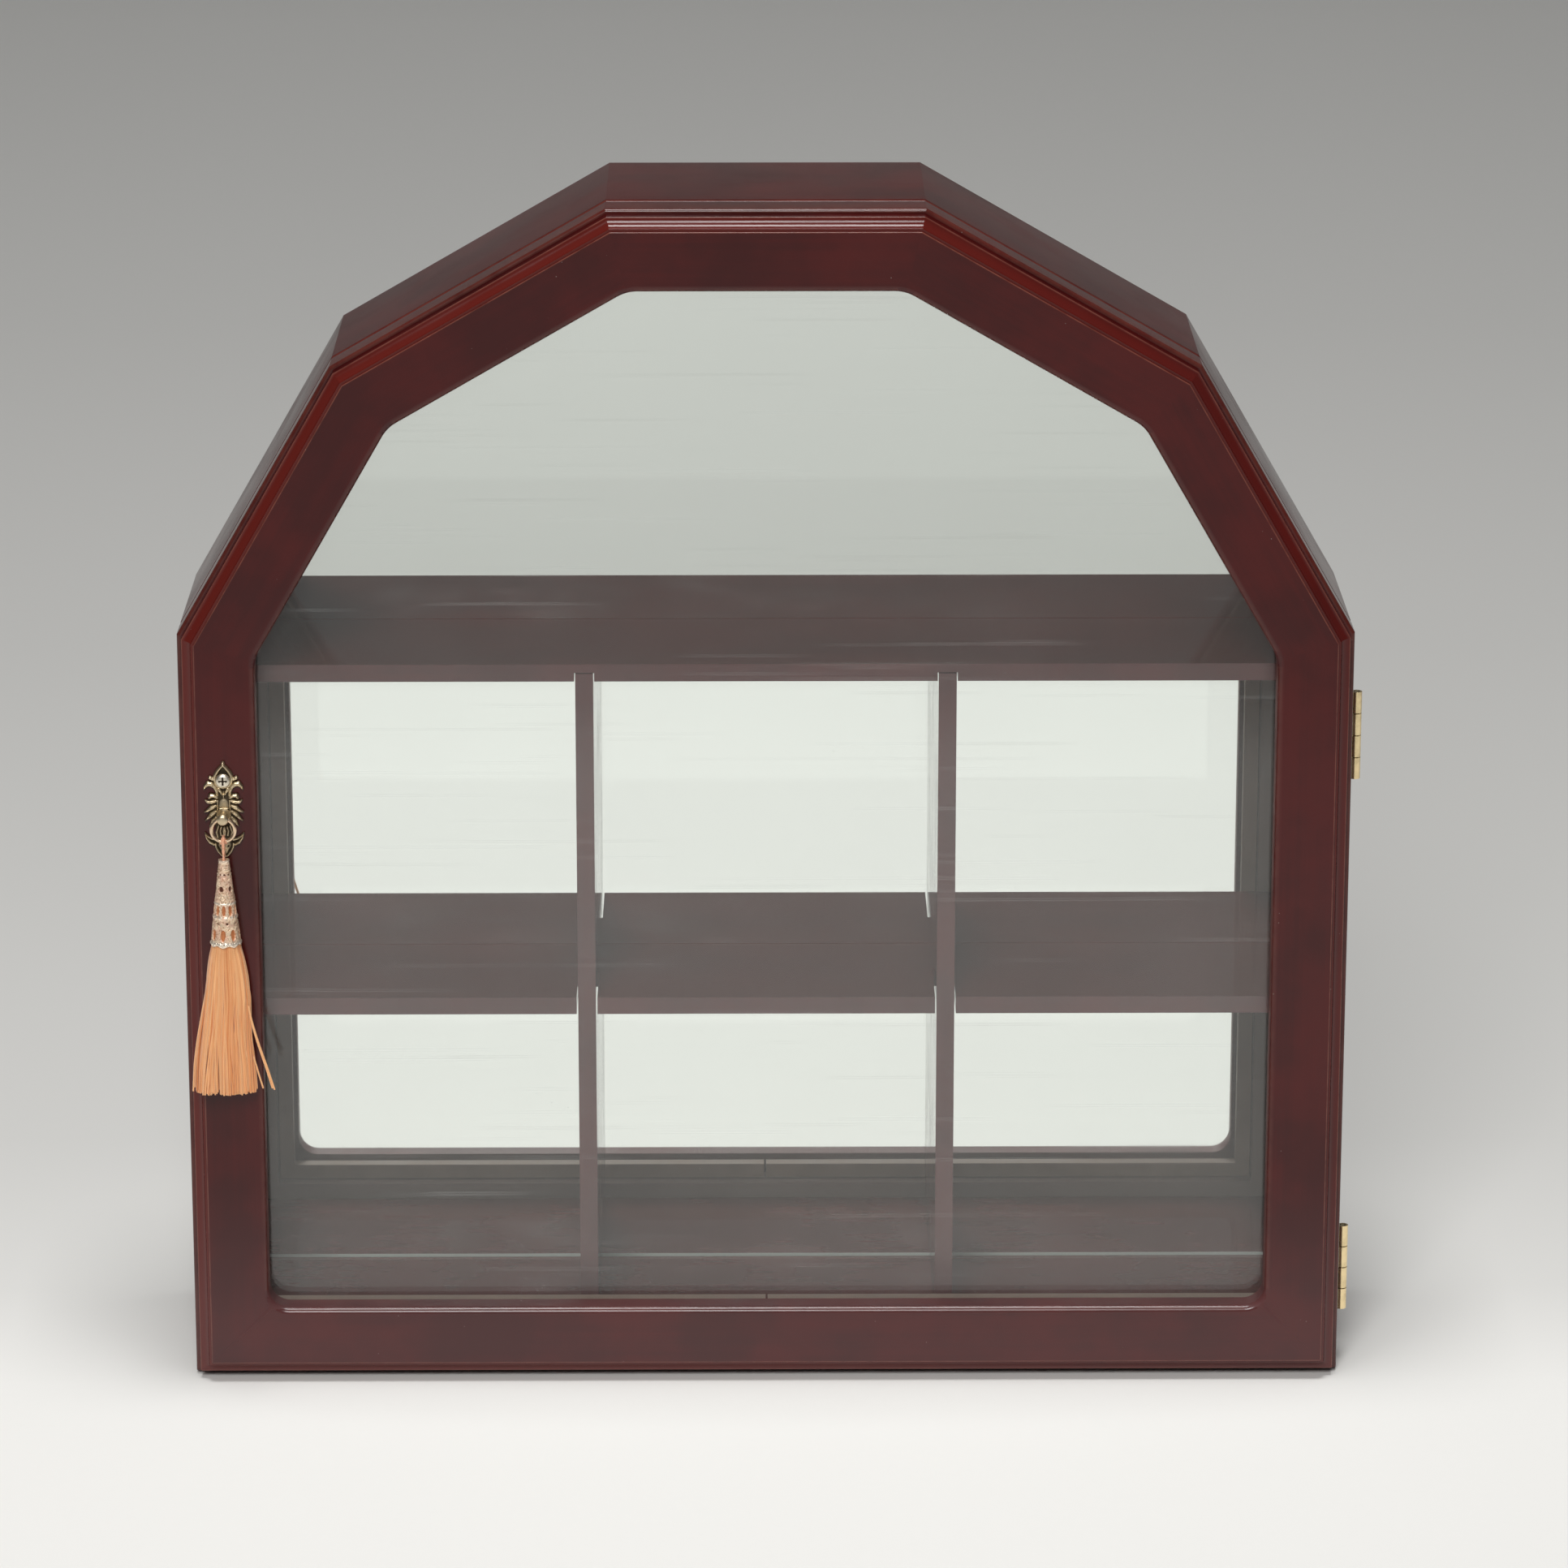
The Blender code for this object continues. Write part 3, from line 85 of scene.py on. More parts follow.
# The back plate's ridges: each one's height and its points (across, down from the tip, radius), in mm
PLATE_RIDGES = (
    (1.15, ((0.0, 0.5, 0.55), (0.0, 0.85, 0.42))),
    (1.0, ((0.0, 1.05, 0.4), (0.8, 1.8, 0.48), (1.6, 2.8, 0.54), (2.2, 3.9, 0.58), (2.4, 5.0, 0.6))),
    (1.0, ((2.4, 5.0, 0.6), (2.15, 6.3, 0.56), (1.5, 7.35, 0.5), (0.0, 7.75, 0.45))),
    (0.8, ((3.0, 5.3, 0.5), (3.8, 4.85, 0.52))),
    (0.95, ((1.75, 10.1, 0.42), (1.95, 8.8, 0.5), (2.5, 7.55, 0.6), (3.5, 6.75, 0.78), (4.4, 6.7, 0.8))),
    (0.95, ((4.4, 6.7, 0.8), (5.2, 7.35, 0.5), (5.7, 8.35, 0.14))),
    (0.85, ((1.35, 8.15, 0.5), (0.95, 8.85, 0.5), (0.35, 9.9, 0.3))),
    (0.5, ((0.0, 9.0, 0.18), (0.0, 11.0, 0.24))),
    (1.1, ((1.9, 10.75, 0.5), (2.8, 10.25, 0.6), (3.7, 10.25, 0.72), (4.1, 10.75, 0.45))),
    (0.9, ((2.3, 11.8, 0.5), (3.6, 12.2, 0.66), (4.6, 12.15, 0.48), (5.35, 11.6, 0.13))),
    (0.9, ((2.4, 13.35, 0.48), (3.6, 13.95, 0.74), (4.7, 14.75, 0.48), (5.7, 15.2, 0.12))),
    (0.9, ((2.4, 15.05, 0.48), (3.5, 15.85, 0.72), (4.5, 16.9, 0.46), (5.5, 17.75, 0.12))),
    (0.85, ((2.3, 16.9, 0.46), (3.2, 17.9, 0.62), (4.2, 19.45, 0.14))),
    (0.35, ((0.0, 12.7, 1.45), (0.0, 13.4, 1.6))),
    (1.2, ((0.0, 14.0, 0.36), (1.15, 14.05, 0.34))),
    (0.6, ((1.72, 11.7, 0.24), (1.85, 16.2, 0.24))),
    (0.6, ((0.0, 19.9, 0.34), (0.25, 21.0, 0.3), (0.0, 22.6, 0.3))),
    (0.6, ((0.85, 19.8, 0.3), (1.2, 20.9, 0.26), (0.95, 22.3, 0.3))),
    (0.6, ((1.7, 19.5, 0.28), (2.3, 21.3, 0.34), (1.95, 22.9, 0.3))),
    (0.8, ((2.5, 23.7, 0.28), (3.7, 23.35, 0.3), (4.7, 22.75, 0.28), (5.65, 21.65, 0.13))),
    (0.95, ((5.6, 21.9, 0.16), (5.15, 23.2, 0.3), (4.2, 24.5, 0.38), (3.0, 25.1, 0.36))),
    (0.95, ((2.6, 24.8, 0.32), (2.5, 25.8, 0.3), (1.9, 27.1, 0.3), (0.9, 28.4, 0.28), (0.0, 28.75, 0.28))),
    (0.4, ((0.0, 25.5, 2.0), (0.0, 27.2, 1.0))),
)

# Flat ground between the plate's ridges, and its two pierced holes
PLATE_GROUND = (
    ((0.0, 2.8, 0.9), (0.0, 5.0, 2.3)),
    ((0.0, 8.0, 1.5), (0.0, 10.4, 1.7), (0.0, 12.2, 3.2)),
    ((0.0, 12.2, 3.2), (0.0, 17.2, 3.3), (0.0, 20.0, 2.5), (0.0, 23.0, 2.5)),
    ((3.2, 24.2, 0.6), (4.7, 23.2, 0.4)),
    ((0.0, 25.4, 2.4), (0.0, 27.2, 1.4)),
)
PLATE_HOLES = ((1.1, 25.6, 0.3), (-1.1, 25.6, 0.3))

# The knob's turned outline from its tip to its collar: radius and distance behind the tip, in mm
KNOB_OUTLINE = (
    (0.5, 0.02), (0.9, 0.08), (1.2, 0.18), (1.42, 0.34), (1.58, 0.56), (1.66, 0.85),
    (1.66, 1.1), (1.6, 1.5), (1.55, 2.2), (1.55, 3.6), (1.6, 4.2),
)

# Bands round the cap: height, height that ripples, level and half width as shares of the cap's drop
CAP_BANDS = (
    (0.50, 0.00, 0.012, 0.020),
    (0.35, 0.00, 0.115, 0.012),
    (0.40, 0.00, 0.210, 0.012),
    (0.30, 0.22, 0.455, 0.035),
    (0.45, 0.00, 0.498, 0.010),
    (0.35, 0.45, 0.655, 0.018),
    (0.25, 0.00, 0.760, 0.030),
)

# Rows of beads and bosses round the cap: height, count, degrees right of the front, level as a share of
# the drop, half height and half width in mm
CAP_PEARLS = (0.70, 18, -14, 0.165, 0.30, 0.22)
CAP_BEADS = (
    CAP_PEARLS,
    (0.90, 16, 4, 0.970, 0.75, 0.80),
    (0.55, 26, 0, 0.660, 0.32, 0.30),
    (0.50, 24, 4, 0.502, 0.26, 0.26),
    (0.22, 7, 30, 0.260, 0.90, 0.90),
    (0.22, 7, 8, 0.410, 0.60, 0.80),
)

# Rows of openings in the cap: depth, then the same; the slots also narrow towards their feet
CAP_OPENINGS = {
    "eyelets": (2.0, 9, -34, 0.165, 0.35, 0.34),
    "round holes": (2.6, 5, -22, 0.330, 0.95, 0.78),
    "ovals": (2.4, 10, -3, 0.575, 1.70, 0.62),
    "notches": (2.0, 8, 12, 0.726, 0.45, 0.40),
    "slots": (2.4, 8, -7, 0.862, 1.90, 0.85, 0.28),
}

# Painted highlights on the cap's ridges: brightness, whether it ripples, level and half width as shares of
# the drop
CAP_PAINTED_GLINTS = (
    (1.0, True, 0.655, 0.020),
    (1.0, False, 0.498, 0.012),
    (1.0, False, 0.970, 0.030),
    (0.5, False, 0.012, 0.020),
)

# The tassel's skirt: shares of its drop below the hem, of its half width and half depth, and its lean in mm
SKIRT_SHARES = (
    (0.00, 0.470, 0.86, 0.00),
    (0.10, 0.585, 0.90, 0.05),
    (0.21, 0.670, 0.92, 0.10),
    (0.35, 0.750, 0.94, 0.05),
    (0.51, 0.790, 0.95, -0.45),
    (0.65, 0.850, 0.96, -0.75),
    (0.81, 0.940, 0.96, -0.85),
    (1.00, 1.000, 0.92, -1.00),
)

# The skirt's layers from the outside in: share of its half width, and how many times thicker its strands are
SKIRT_LAYERS = ((0.965, 1.0), (0.84, 1.7), (0.62, 2.6))

# Loose ends at the skirt's right: where each leaves and ends, as shares of the drop, and how far out in mm
STRAYS = ((0.40, 0.965, 5.2), (0.42, 0.955, 4.6), (0.74, 0.955, 1.9))

# Metals: their colour, the colour in their pits, their roughness from and to, and the scale of their clouds
METALS = {
    "bright_brass": ("brass", "brass_pit", 0.14, 0.30, 260.0),
    "antique_brass": ("old_brass", "old_brass_pit", 0.28, 0.46, 380.0),
    "screw_brass": ("screw_brass", "worn_brass_pit", 0.34, 0.46, 380.0),
    "ring_brass": ("ring_brass", "worn_brass_pit", 0.20, 0.34, 380.0),
    "zinc_steel": ("steel", "steel_pit", 0.30, 0.50, 300.0),
}

# The paper's run along the floor from front to back: the place, and how pale the paper is there, a painted
# fall-off of the lamps' light
PAPER_RUN = (
    (-4.0, 0.455), (-2.0, 0.455), (-0.78, 0.455), (-0.68, 0.80), (-0.5, 0.825),
    (-0.28, 0.865), (-0.15, 0.90), (-0.05, 0.92), (0.03, 0.77), (0.17, 0.675),
    (0.45, 0.65), (0.8, 0.64), (1.45, 0.71), (2.4, 0.89), (3.0, 0.92),
)

# Square lamps: name, place, what each aims at, its side in metres and its power in watts
LAMPS = (
    ("overhead", (0.0, -0.28, 2.8), (0.0, -0.05, 0.0), 1.0, 49.0),
    ("front", (-0.35, -2.6, 2.0), (0.0, 0.0, 0.12), 1.1, 58.0),
)


def once(make):
    """Makes a thing once for each set of arguments, and keeps it."""
    kept = {}

    def keeper(*arguments):
        if arguments not in kept:
            kept[arguments] = make(*arguments)
        return kept[arguments]

    return keeper


@once
def ends(node):
    """Lowest and highest corner of a CAD node."""
    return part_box(node)


def near(node, axis):
    """Lowest coordinate of a CAD node."""
    return ends(node)[LOW][axis]


def far(node, axis):
    """Highest coordinate of a CAD node."""
    return ends(node)[HIGH][axis]


def middle(node, axis):
    """Middle coordinate of a CAD node."""
    return (near(node, axis) + far(node, axis)) / 2


def half(node, axis):
    """Half a CAD node's extent."""
    return (far(node, axis) - near(node, axis)) / 2


def length(name, default, description):
    return bpy.props.FloatProperty(
        name=name, description=description, default=default, min=0.0, subtype="DISTANCE", unit="LENGTH"
    )


def colour(name, default, description):
    return bpy.props.FloatVectorProperty(
        name=name, description=description, default=default, size=3, min=0.0, max=1.0, subtype="COLOR"
    )


class CabinetSizes(bpy.types.PropertyGroup):
    """Sizes of the mouldings, the pull and the tassel."""

    half_width: length("Half width", far("side_board_right", X), "Half the case's width")
    height: length("Height", far("top_board", Z), "The case's height")
    board: length("Board", 0.013, "Thickness of the case's boards")
    case_arris: length("Case arris", 0.002, "Radius of the case's front edge")
    mirror_rebate: length("Mirror rebate", 0.003, "Width of the rebate that holds the mirror")
    back_rebate: length("Back rebate", 0.007, "Width of the rebate that holds the back")
    door_lift: length("Door lift", near("door_rail_bottom", Z), "Gap under the door")
    rail_width: length("Rail width", 0.0228, "Width of the door's rails")
    step_depth: length("Step depth", 0.0074, "Depth of the outer step behind the door's face")
    step_width: length("Step width", 0.0016, "Width of the outer step")
    ledge_depth: length("Ledge depth", 0.0036, "Depth of the ledge under the cove")
    ledge_offset: length("Ledge offset", 0.0019, "Offset of the cove's outer end")
    cove_radius: length("Cove radius", 0.0027, "Radius of the cove")
    face_setback: length("Face setback", 0.0053, "Offset of the flat face's outer edge")
    opening_arris: length("Opening arris", 0.002, "Radius of the opening's front edge")
    fine_arris: length("Fine arris", 0.0002, "Radius of the moulding's small edges")
    mitre_radius: length("Mitre radius", 0.0003, "Radius of the moulding's outer corners")
    bottom_corner: length("Bottom corner", 0.006, "Radius of the opening's bottom corners")
    arch_corner: length("Arch corner", 0.011, "Radius of the opening's upper corners")
    glass_shoulder: length("Glass shoulder", 0.0077, "Depth of the shoulder that the glass lies on")
    glass_rebate: length("Glass rebate", 0.006, "Width of the rebate that holds the glass")
    back_arris: length("Back arris", 0.0006, "Bevel of the door's back edge")
    ring_wire: length("Ring wire", 0.00055, "Radius of the pull ring's wire")
    yarn: length("Yarn", 0.00024, "Radius of one strand of the tassel")
    yarn_twist: length("Yarn twist", 0.00125, "Length of one turn of a strand's twist")
    strands: bpy.props.IntProperty(
        name="Strands", description="Number of strands in the tassel", default=520, min=20
    )


class CabinetColours(bpy.types.PropertyGroup):
    """Colours of the cabinet's finishes."""

    lacquer: colour("Lacquer", (0.068, 0.0048, 0.0042), "Ground of the cherry lacquer")
    lacquer_dark: colour("Dark lacquer", (0.041, 0.0036, 0.0035), "Dark streaks of the lacquer")
    # Painted reflection: the lacquer's own colour thrown back inside the coves, laid on them as a deeper,
    # purer colour
    lacquer_cove_glow: colour("Red lacquer", (0.100, 0.010, 0.0068), "Lacquer in the coves, where it shows reddest")
    # Also painted light: laid on the case's inner faces, on the shelves' and dividers' faces that don't face
    # the front, and as a highlight along the opening's lip
    worn_and_lit_lacquer: colour("Worn lacquer", (0.20, 0.066, 0.046), "Lacquer worn thin on an edge")
    inside: colour("Inside", (0.30, 0.235, 0.205), "Matt ground on the door's back")
    # Laid on the door towards its foot, and as painted light on the shelves' and dividers' faces that face
    # the front
    haze: colour("Haze", (0.30, 0.22, 0.22), "Fine dust near the foot")
    dust: colour("Dust", (0.42, 0.36, 0.33), "Specks of dust on the lacquer")
    hardboard: colour("Hardboard", (0.11, 0.058, 0.032), "The back panel's board")
    hardboard_dark: colour("Dark hardboard", (0.065, 0.032, 0.017), "Dark fibres of the board")
    glass: colour("Glass", (0.985, 0.996, 0.988), "Tint of the clear glass")
    # Also the colour of a painted reflection of the floor over the glass's lower part
    dust_film_and_reflection: colour("Veil", (0.80, 0.82, 0.80), "Fine dust on the glass")
    silver: colour("Silver", (0.98, 0.987, 0.974), "The mirror's silvering")
    silver_specks: colour("Mirror specks", (0.35, 0.36, 0.34), "Dust on the mirror")
    silver_foot: colour("Mirror foot", (0.40, 0.43, 0.40), "Pale line along the mirror's foot")
    brass: colour("Brass", (0.90, 0.72, 0.42), "Bright brass of the hinges")
    old_brass: colour("Old brass", (0.66, 0.54, 0.36), "Antique brass of the pull")
    screw_brass: colour("Screw", (0.80, 0.73, 0.60), "The pull's pale screw")
    ring_brass: colour("Ring", (0.88, 0.66, 0.46), "The pull's warmer ring")
    brass_pit: colour("Brass pits", (0.10, 0.055, 0.020), "Dirt in the hinges' brass")
    old_brass_pit: colour("Old brass pits", (0.030, 0.020, 0.012), "Dirt in the pull's plate and knob")
    worn_brass_pit: colour("Worn brass pits", (0.05, 0.03, 0.02), "Dirt on the pull's screw and ring")
    steel_pit: colour("Steel pits", (0.08, 0.08, 0.08), "Dirt on the steel")
    rose_gold: colour("Rose gold", (0.98, 0.75, 0.53), "The tassel's cap")
    rose_deep: colour("Deep rose gold", (0.84, 0.54, 0.40), "Deeper clouds of the cap")
    # Painted shade in the cap's fine crevices
    cap_crevice_shade: colour("Cap veins", (0.42, 0.20, 0.10), "Fine brown grain of the cap")
    # Painted highlights on the cap's ridges and pearls
    cap_glint: colour("Cap silver", (0.97, 0.89, 0.76), "Pale ridges of the cap")
    # Painted shade inside the cap's small sunken holes
    cap_hole_shade: colour("Cap dark", (0.10, 0.022, 0.006), "Small holes high in the cap")
    # Silk painted in shade inside the cap's sunken slots
    cap_shaded_silk: colour("Cap silk", (0.36, 0.10, 0.03), "Silk seen through the cap's slots")
    silk: colour("Silk", (0.82, 0.34, 0.12), "The tassel's silk")
    thread: colour("Thread", (0.80, 0.36, 0.20), "The copper thread of the tassel's neck")
    thread_light: colour("Light thread", (0.92, 0.50, 0.32), "Light fibres of the thread")
    yarn_groove_shade: colour("Yarn grooves", (0.42, 0.12, 0.03), "Grooves between a strand's plies")
    # Painted shade in the grooves between a strand's plies
    silk_dark: colour("Dark silk", (0.64, 0.22, 0.065), "Shaded strands of the silk")
    silk_light: colour("Light silk", (0.97, 0.54, 0.25), "Light strands of the silk")
    plastic: colour("Plastic", (0.27, 0.205, 0.168), "The glass's retaining strip")
    steel: colour("Steel", (0.42, 0.42, 0.43), "Zinc-plated hanger and screws")
    magnet: colour("Magnet", (0.020, 0.019, 0.019), "The catch's magnet")
    paper: colour("Paper", (0.95, 0.94, 0.905), "The floor's paper in full light")
    paper_dim: colour("Dim paper", (0.05, 0.049, 0.046), "The floor's paper in the dark")
    paper_fibre: colour("Paper fibres", (0.6, 0.6, 0.6), "Faint fibres of the paper")


def sizes():
    return bpy.context.scene.cabinet_sizes


def colours():
    return bpy.context.scene.cabinet_colours


class Value:
    """A socket inside a finish, so that sums on it are written as plain Python."""

    def __init__(self, finish, socket):
        self.finish, self.socket = finish, socket

    def math(self, operation, *terms):
        node = self.finish.add("ShaderNodeMath", {"operation": operation}, dict(enumerate(terms)))
        return Value(self.finish, node.outputs[0])

    def __add__(self, other):
        return self.math("ADD", self, other)

    def __sub__(self, other):
        return self.math("SUBTRACT", self, other)

    def __rsub__(self, other):
        return self.math("SUBTRACT", other, self)

    def __mul__(self, other):
        return self.math("MULTIPLY", self, other)

    __radd__, __rmul__ = __add__, __mul__


class Finish:
    """One material, built node by node."""

    def __init__(self, name):
        self.material = bpy.data.materials.new(name)
        self.material.use_nodes = True
        self.tree = self.material.node_tree
        self.tree.nodes.clear()

    def add(self, kind, settings=None, inputs=None):
        node = self.tree.nodes.new(kind)
        for name, value in (settings or {}).items():
            setattr(node, name, value)
        for key, value in (inputs or {}).items():
            socket = node.inputs[key]
            if isinstance(value, Value):
                self.tree.links.new(value.socket, socket)
            elif socket.type == "RGBA" and len(value) == 3:
                socket.default_value = (*value, 1.0)
            else:
                socket.default_value = value
        return node

    def value(self, kind, settings=None, inputs=None, output=0):
        return Value(self, self.add(kind, settings, inputs).outputs[output])

    def position(self, turn=(0.0, 0.0, 0.0)):
        """Place on the piece at rest, in metres, turned by angles in radians."""
        place = self.value("ShaderNodeTexCoord", None, None, "Object")
        return self.mapped(place, turn)

    def mapped(self, place, turn=(0.0, 0.0, 0.0), stretch=(1.0, 1.0, 1.0)):
        inputs = {"Vector": place, "Rotation": turn, "Scale": stretch}
        return self.value("ShaderNodeMapping", {"vector_type": "POINT"}, inputs)

    def axis(self, vector, axis):
        """One coordinate of a vector."""
        return self.value("ShaderNodeSeparateXYZ", None, {0: vector}, axis)

    def attribute(self, name, output="Fac"):
        return self.value("ShaderNodeAttribute", {"attribute_name": name}, None, output)

    def noise(self, place, scale, detail, roughness=0.5):
        inputs = {"Vector": place, "Scale": scale, "Detail": detail, "Roughness": roughness}
        return self.value("ShaderNodeTexNoise", None, inputs)

    def cells(self, place, scale):
        return self.value("ShaderNodeTexVoronoi", None, {"Vector": place, "Scale": scale}, "Distance")

    def ramp(self, value, low, high, start=0.0, end=1.0):
        """Smooth step of a value from low to high."""
        inputs = {"Value": value, "From Min": low, "From Max": high, "To Min": start, "To Max": end}
        return self.value("ShaderNodeMapRange", {"interpolation_type": "SMOOTHSTEP"}, inputs)

    def held(self, value):
        """A value held between 0 and 1."""
        return self.value("ShaderNodeClamp", None, {"Value": value})

    def specks(self, place, scale, edge, patches, patch_edge):
        """Small specks that gather in patches: a scale and two levels for the specks, and for the patches."""
        specks = 1.0 - self.ramp(self.cells(place, scale), *edge)
        return specks * self.ramp(self.noise(place, patches, 1.0), *patch_edge)

    def mix(self, factor, first, second):
        """Colour between two colours."""
        settings = {"data_type": "RGBA", "clamp_factor": True}
        return self.value("ShaderNodeMix", settings, {0: factor, 6: first, 7: second}, 2)

    def bump(self, height, distance, strength):
        inputs = {"Height": height, "Distance": distance, "Strength": strength}
        return self.value("ShaderNodeBump", None, inputs)

    def surface(self, **inputs):
        named = {name.replace("_", " ").title().replace("Ior", "IOR"): v for name, v in inputs.items()}
        return self.value("ShaderNodeBsdfPrincipled", None, named)

    def done(self, shader):
        self.add("ShaderNodeOutputMaterial", None, {"Surface": shader})
        return self.material


def moulded_ground(finish, place, ground):
    """Lacquer of a moulding: redder in the coves as a painted reflection, worn on the arrises and with a
    painted highlight on the opening's lip, matt behind and paler towards the foot.
    """
    shade = colours()
    glow_fades_at, glow_full_at = 0.16, -0.02
    pale_from, pale_foot = 0.075, 0.004
    across, level = finish.axis(place, X), finish.axis(place, Z)
    # Painted reflection: the coves are made redder, fading out towards the hinge side
    cove_glow = finish.held(finish.attribute("cove")) * finish.ramp(across, glow_fades_at, glow_full_at, 0.45, 1.0)
    ground = finish.mix(cove_glow, ground, shade.lacquer_cove_glow)
    patchy = finish.ramp(finish.noise(place, 160.0, 4.0, 0.65), 0.30, 0.62, 0.45, 1.0)
    # Worn arrises, and the opening's lip as a painted highlight, take the paler worn colour
    ground = finish.mix(finish.attribute("wear") * patchy, ground, shade.worn_and_lit_lacquer)
    behind = finish.ramp(finish.attribute("behind"), 0.04, 0.12, 0.0, 0.85)
    ground = finish.mix(behind, ground, shade.inside)
    # The lacquer grows paler towards the foot
    return finish.mix(finish.ramp(level, pale_from, pale_foot, 0.0, 0.10), ground, shade.haze)


@once
def cherry_lacquer(run):
    """Glossy dark cherry lacquer; run says how its grain lies: along a "rail", "level" or "upright"."""
    shade = colours()
    finish = Finish("cherry_lacquer_" + run)
    anywhere = finish.position()
    if run == "rail":
        place = finish.attribute("run", "Vector")
    else:
        place = finish.position(turn=(0.0, math.pi / 2 if run == "upright" else 0.0, 0.0))
    streaks = finish.noise(finish.mapped(place, stretch=(9.0, 420.0, 420.0)), 1.0, 4.0, 0.6)
    pores = finish.noise(finish.mapped(place, stretch=(90.0, 2600.0, 2600.0)), 1.0, 2.0)
    clouds = finish.noise(anywhere, 34.0, 3.0, 0.6)
    tone = finish.ramp(streaks * 0.28 + clouds * 0.82, 0.38, 0.74)
    dust = finish.specks(anywhere, 310.0, (0.02, 0.055), 95.0, (0.56, 0.66))
    smears = finish.noise(anywhere, 38.0, 5.0, 0.6)
    gloss = finish.ramp(smears, 0.35, 0.75, 0.17, 0.24) + dust * 0.3
    ground = finish.mix(tone, shade.lacquer_dark, shade.lacquer)
    if run == "rail":
        inner = finish.held(finish.attribute("inner"))
        ground = moulded_ground(finish, anywhere, ground)
        ground = finish.mix(dust * 0.55, ground, shade.dust)
        # Painted light: the case's inner faces are made paler, as if lit
        ground = finish.mix(inner * 0.24, ground, shade.worn_and_lit_lacquer)
        gloss = gloss - inner * 0.10 + finish.held(finish.attribute("reveal")) * 0.42
    else:
        facing = finish.value("ShaderNodeNewGeometry", None, None, "Normal")
        front = finish.ramp(finish.axis(facing, Y), -0.6, -0.9)
        ground = finish.mix(dust * 0.55, ground, shade.dust)
        # Painted light: faces that face the front are made paler, as if lit from the front
        ground = finish.mix(front * 0.16, ground, shade.haze)
        # Painted light: faces that don't face the front, such as the shelves' tops, are made paler, as if lit
        ground = finish.mix((1.0 - front) * 0.28, ground, shade.worn_and_lit_lacquer)
        gloss = gloss - (1.0 - front) * 0.10
    normal = finish.bump(pores * 0.3 + clouds * 0.2 + dust * 0.8, 0.00001, 0.15)
    inputs = {"base_color": ground, "roughness": gloss, "normal": normal}
    return finish.done(finish.surface(specular_ior_level=0.36, **inputs))


@once
def brown_hardboard():
    """Hardboard of the back panel, with its fibres and the screen that it was pressed on."""
    shade = colours()
    finish = Finish("brown_hardboard")
    place = finish.position()
    fibres = finish.noise(finish.mapped(place, stretch=(700.0, 700.0, 260.0)), 1.0, 4.0, 0.7)
    screen = finish.cells(place, 900.0)
    ground = finish.mix(finish.ramp(fibres, 0.3, 0.7), shade.hardboard_dark, shade.hardboard)
    normal = finish.bump(fibres * 0.5 + screen * 0.5, 0.00012, 0.6)
    rough = finish.ramp(fibres, 0.2, 0.8, 0.55, 0.8)
    return finish.done(finish.surface(base_color=ground, roughness=rough, normal=normal))


@once
def clear_glass():
    """Thin clear glass that mirrors more at a slant, with a fine film of dust, a few hair scratches and a
    painted reflection of the floor over its lower part.
    """
    shade = colours()
    finish = Finish("clear_glass")
    place = finish.position()
    clouds = finish.noise(place, 14.0, 4.0, 0.6)
    specks = finish.specks(place, 240.0, (0.015, 0.05), 60.0, (0.55, 0.68))
    slant = finish.mapped(place, turn=(0.0, 0.6, 0.0), stretch=(9.0, 9.0, 1900.0))
    scratch = finish.ramp(finish.noise(slant, 1.0, 1.0), 0.715, 0.76)
    floor_reflection_top, floor_reflection_full = 0.235, 0.19
    dust = finish.ramp(clouds, 0.3, 0.8, 0.004, 0.014) + specks * 0.35 + scratch * 0.08
    # Painted reflection: the film thickens below a level, where the glass mirrors the pale floor
    dust = dust + finish.ramp(finish.axis(place, Z), floor_reflection_top, floor_reflection_full, 0.0, 0.018)
    through = finish.value("ShaderNodeBsdfTransparent", None, {"Color": shade.glass})
    film = finish.surface(base_color=shade.dust_film_and_reflection, roughness=0.55)
    body = finish.value("ShaderNodeMixShader", None, {0: dust, 1: through, 2: film})
    sheen = finish.value("ShaderNodeBsdfGlossy", None, {"Color": (1.0, 1.0, 1.0), "Roughness": 0.02})
    facing = finish.value("ShaderNodeLayerWeight", None, {"Blend": 0.5}, "Facing")
    head_on = 0.033
    mirrored = facing.math("POWER", facing, 5.0) * (1.0 - head_on) + head_on
    return finish.done(finish.value("ShaderNodeMixShader", None, {0: mirrored, 1: body, 2: sheen}))


@once
def silvered_glass():
    """The mirror, with a pale, matt line along its foot."""
    shade = colours()
    finish = Finish("silvered_glass")
    place = finish.position()
    haze = finish.noise(place, 18.0, 4.0, 0.6)
    specks = finish.specks(place, 150.0, (0.012, 0.04), 42.0, (0.60, 0.72))
    line_top, line_foot = 0.0140, 0.0137
    foot = finish.ramp(finish.axis(place, Z), line_top, line_foot)
    tint = finish.mix(specks * 0.6, shade.silver, shade.silver_specks)
    tint = finish.mix(foot, tint, shade.silver_foot)
    rough = finish.ramp(haze, 0.35, 0.8, 0.012, 0.045) + specks * 0.3 + foot * 0.4
    normal = finish.bump(finish.noise(place, 30.0, 1.0), 0.00002, 0.15)
    inputs = {"base_color": tint, "metallic": 1.0 - foot, "roughness": rough, "normal": normal}
    return finish.done(finish.surface(**inputs))


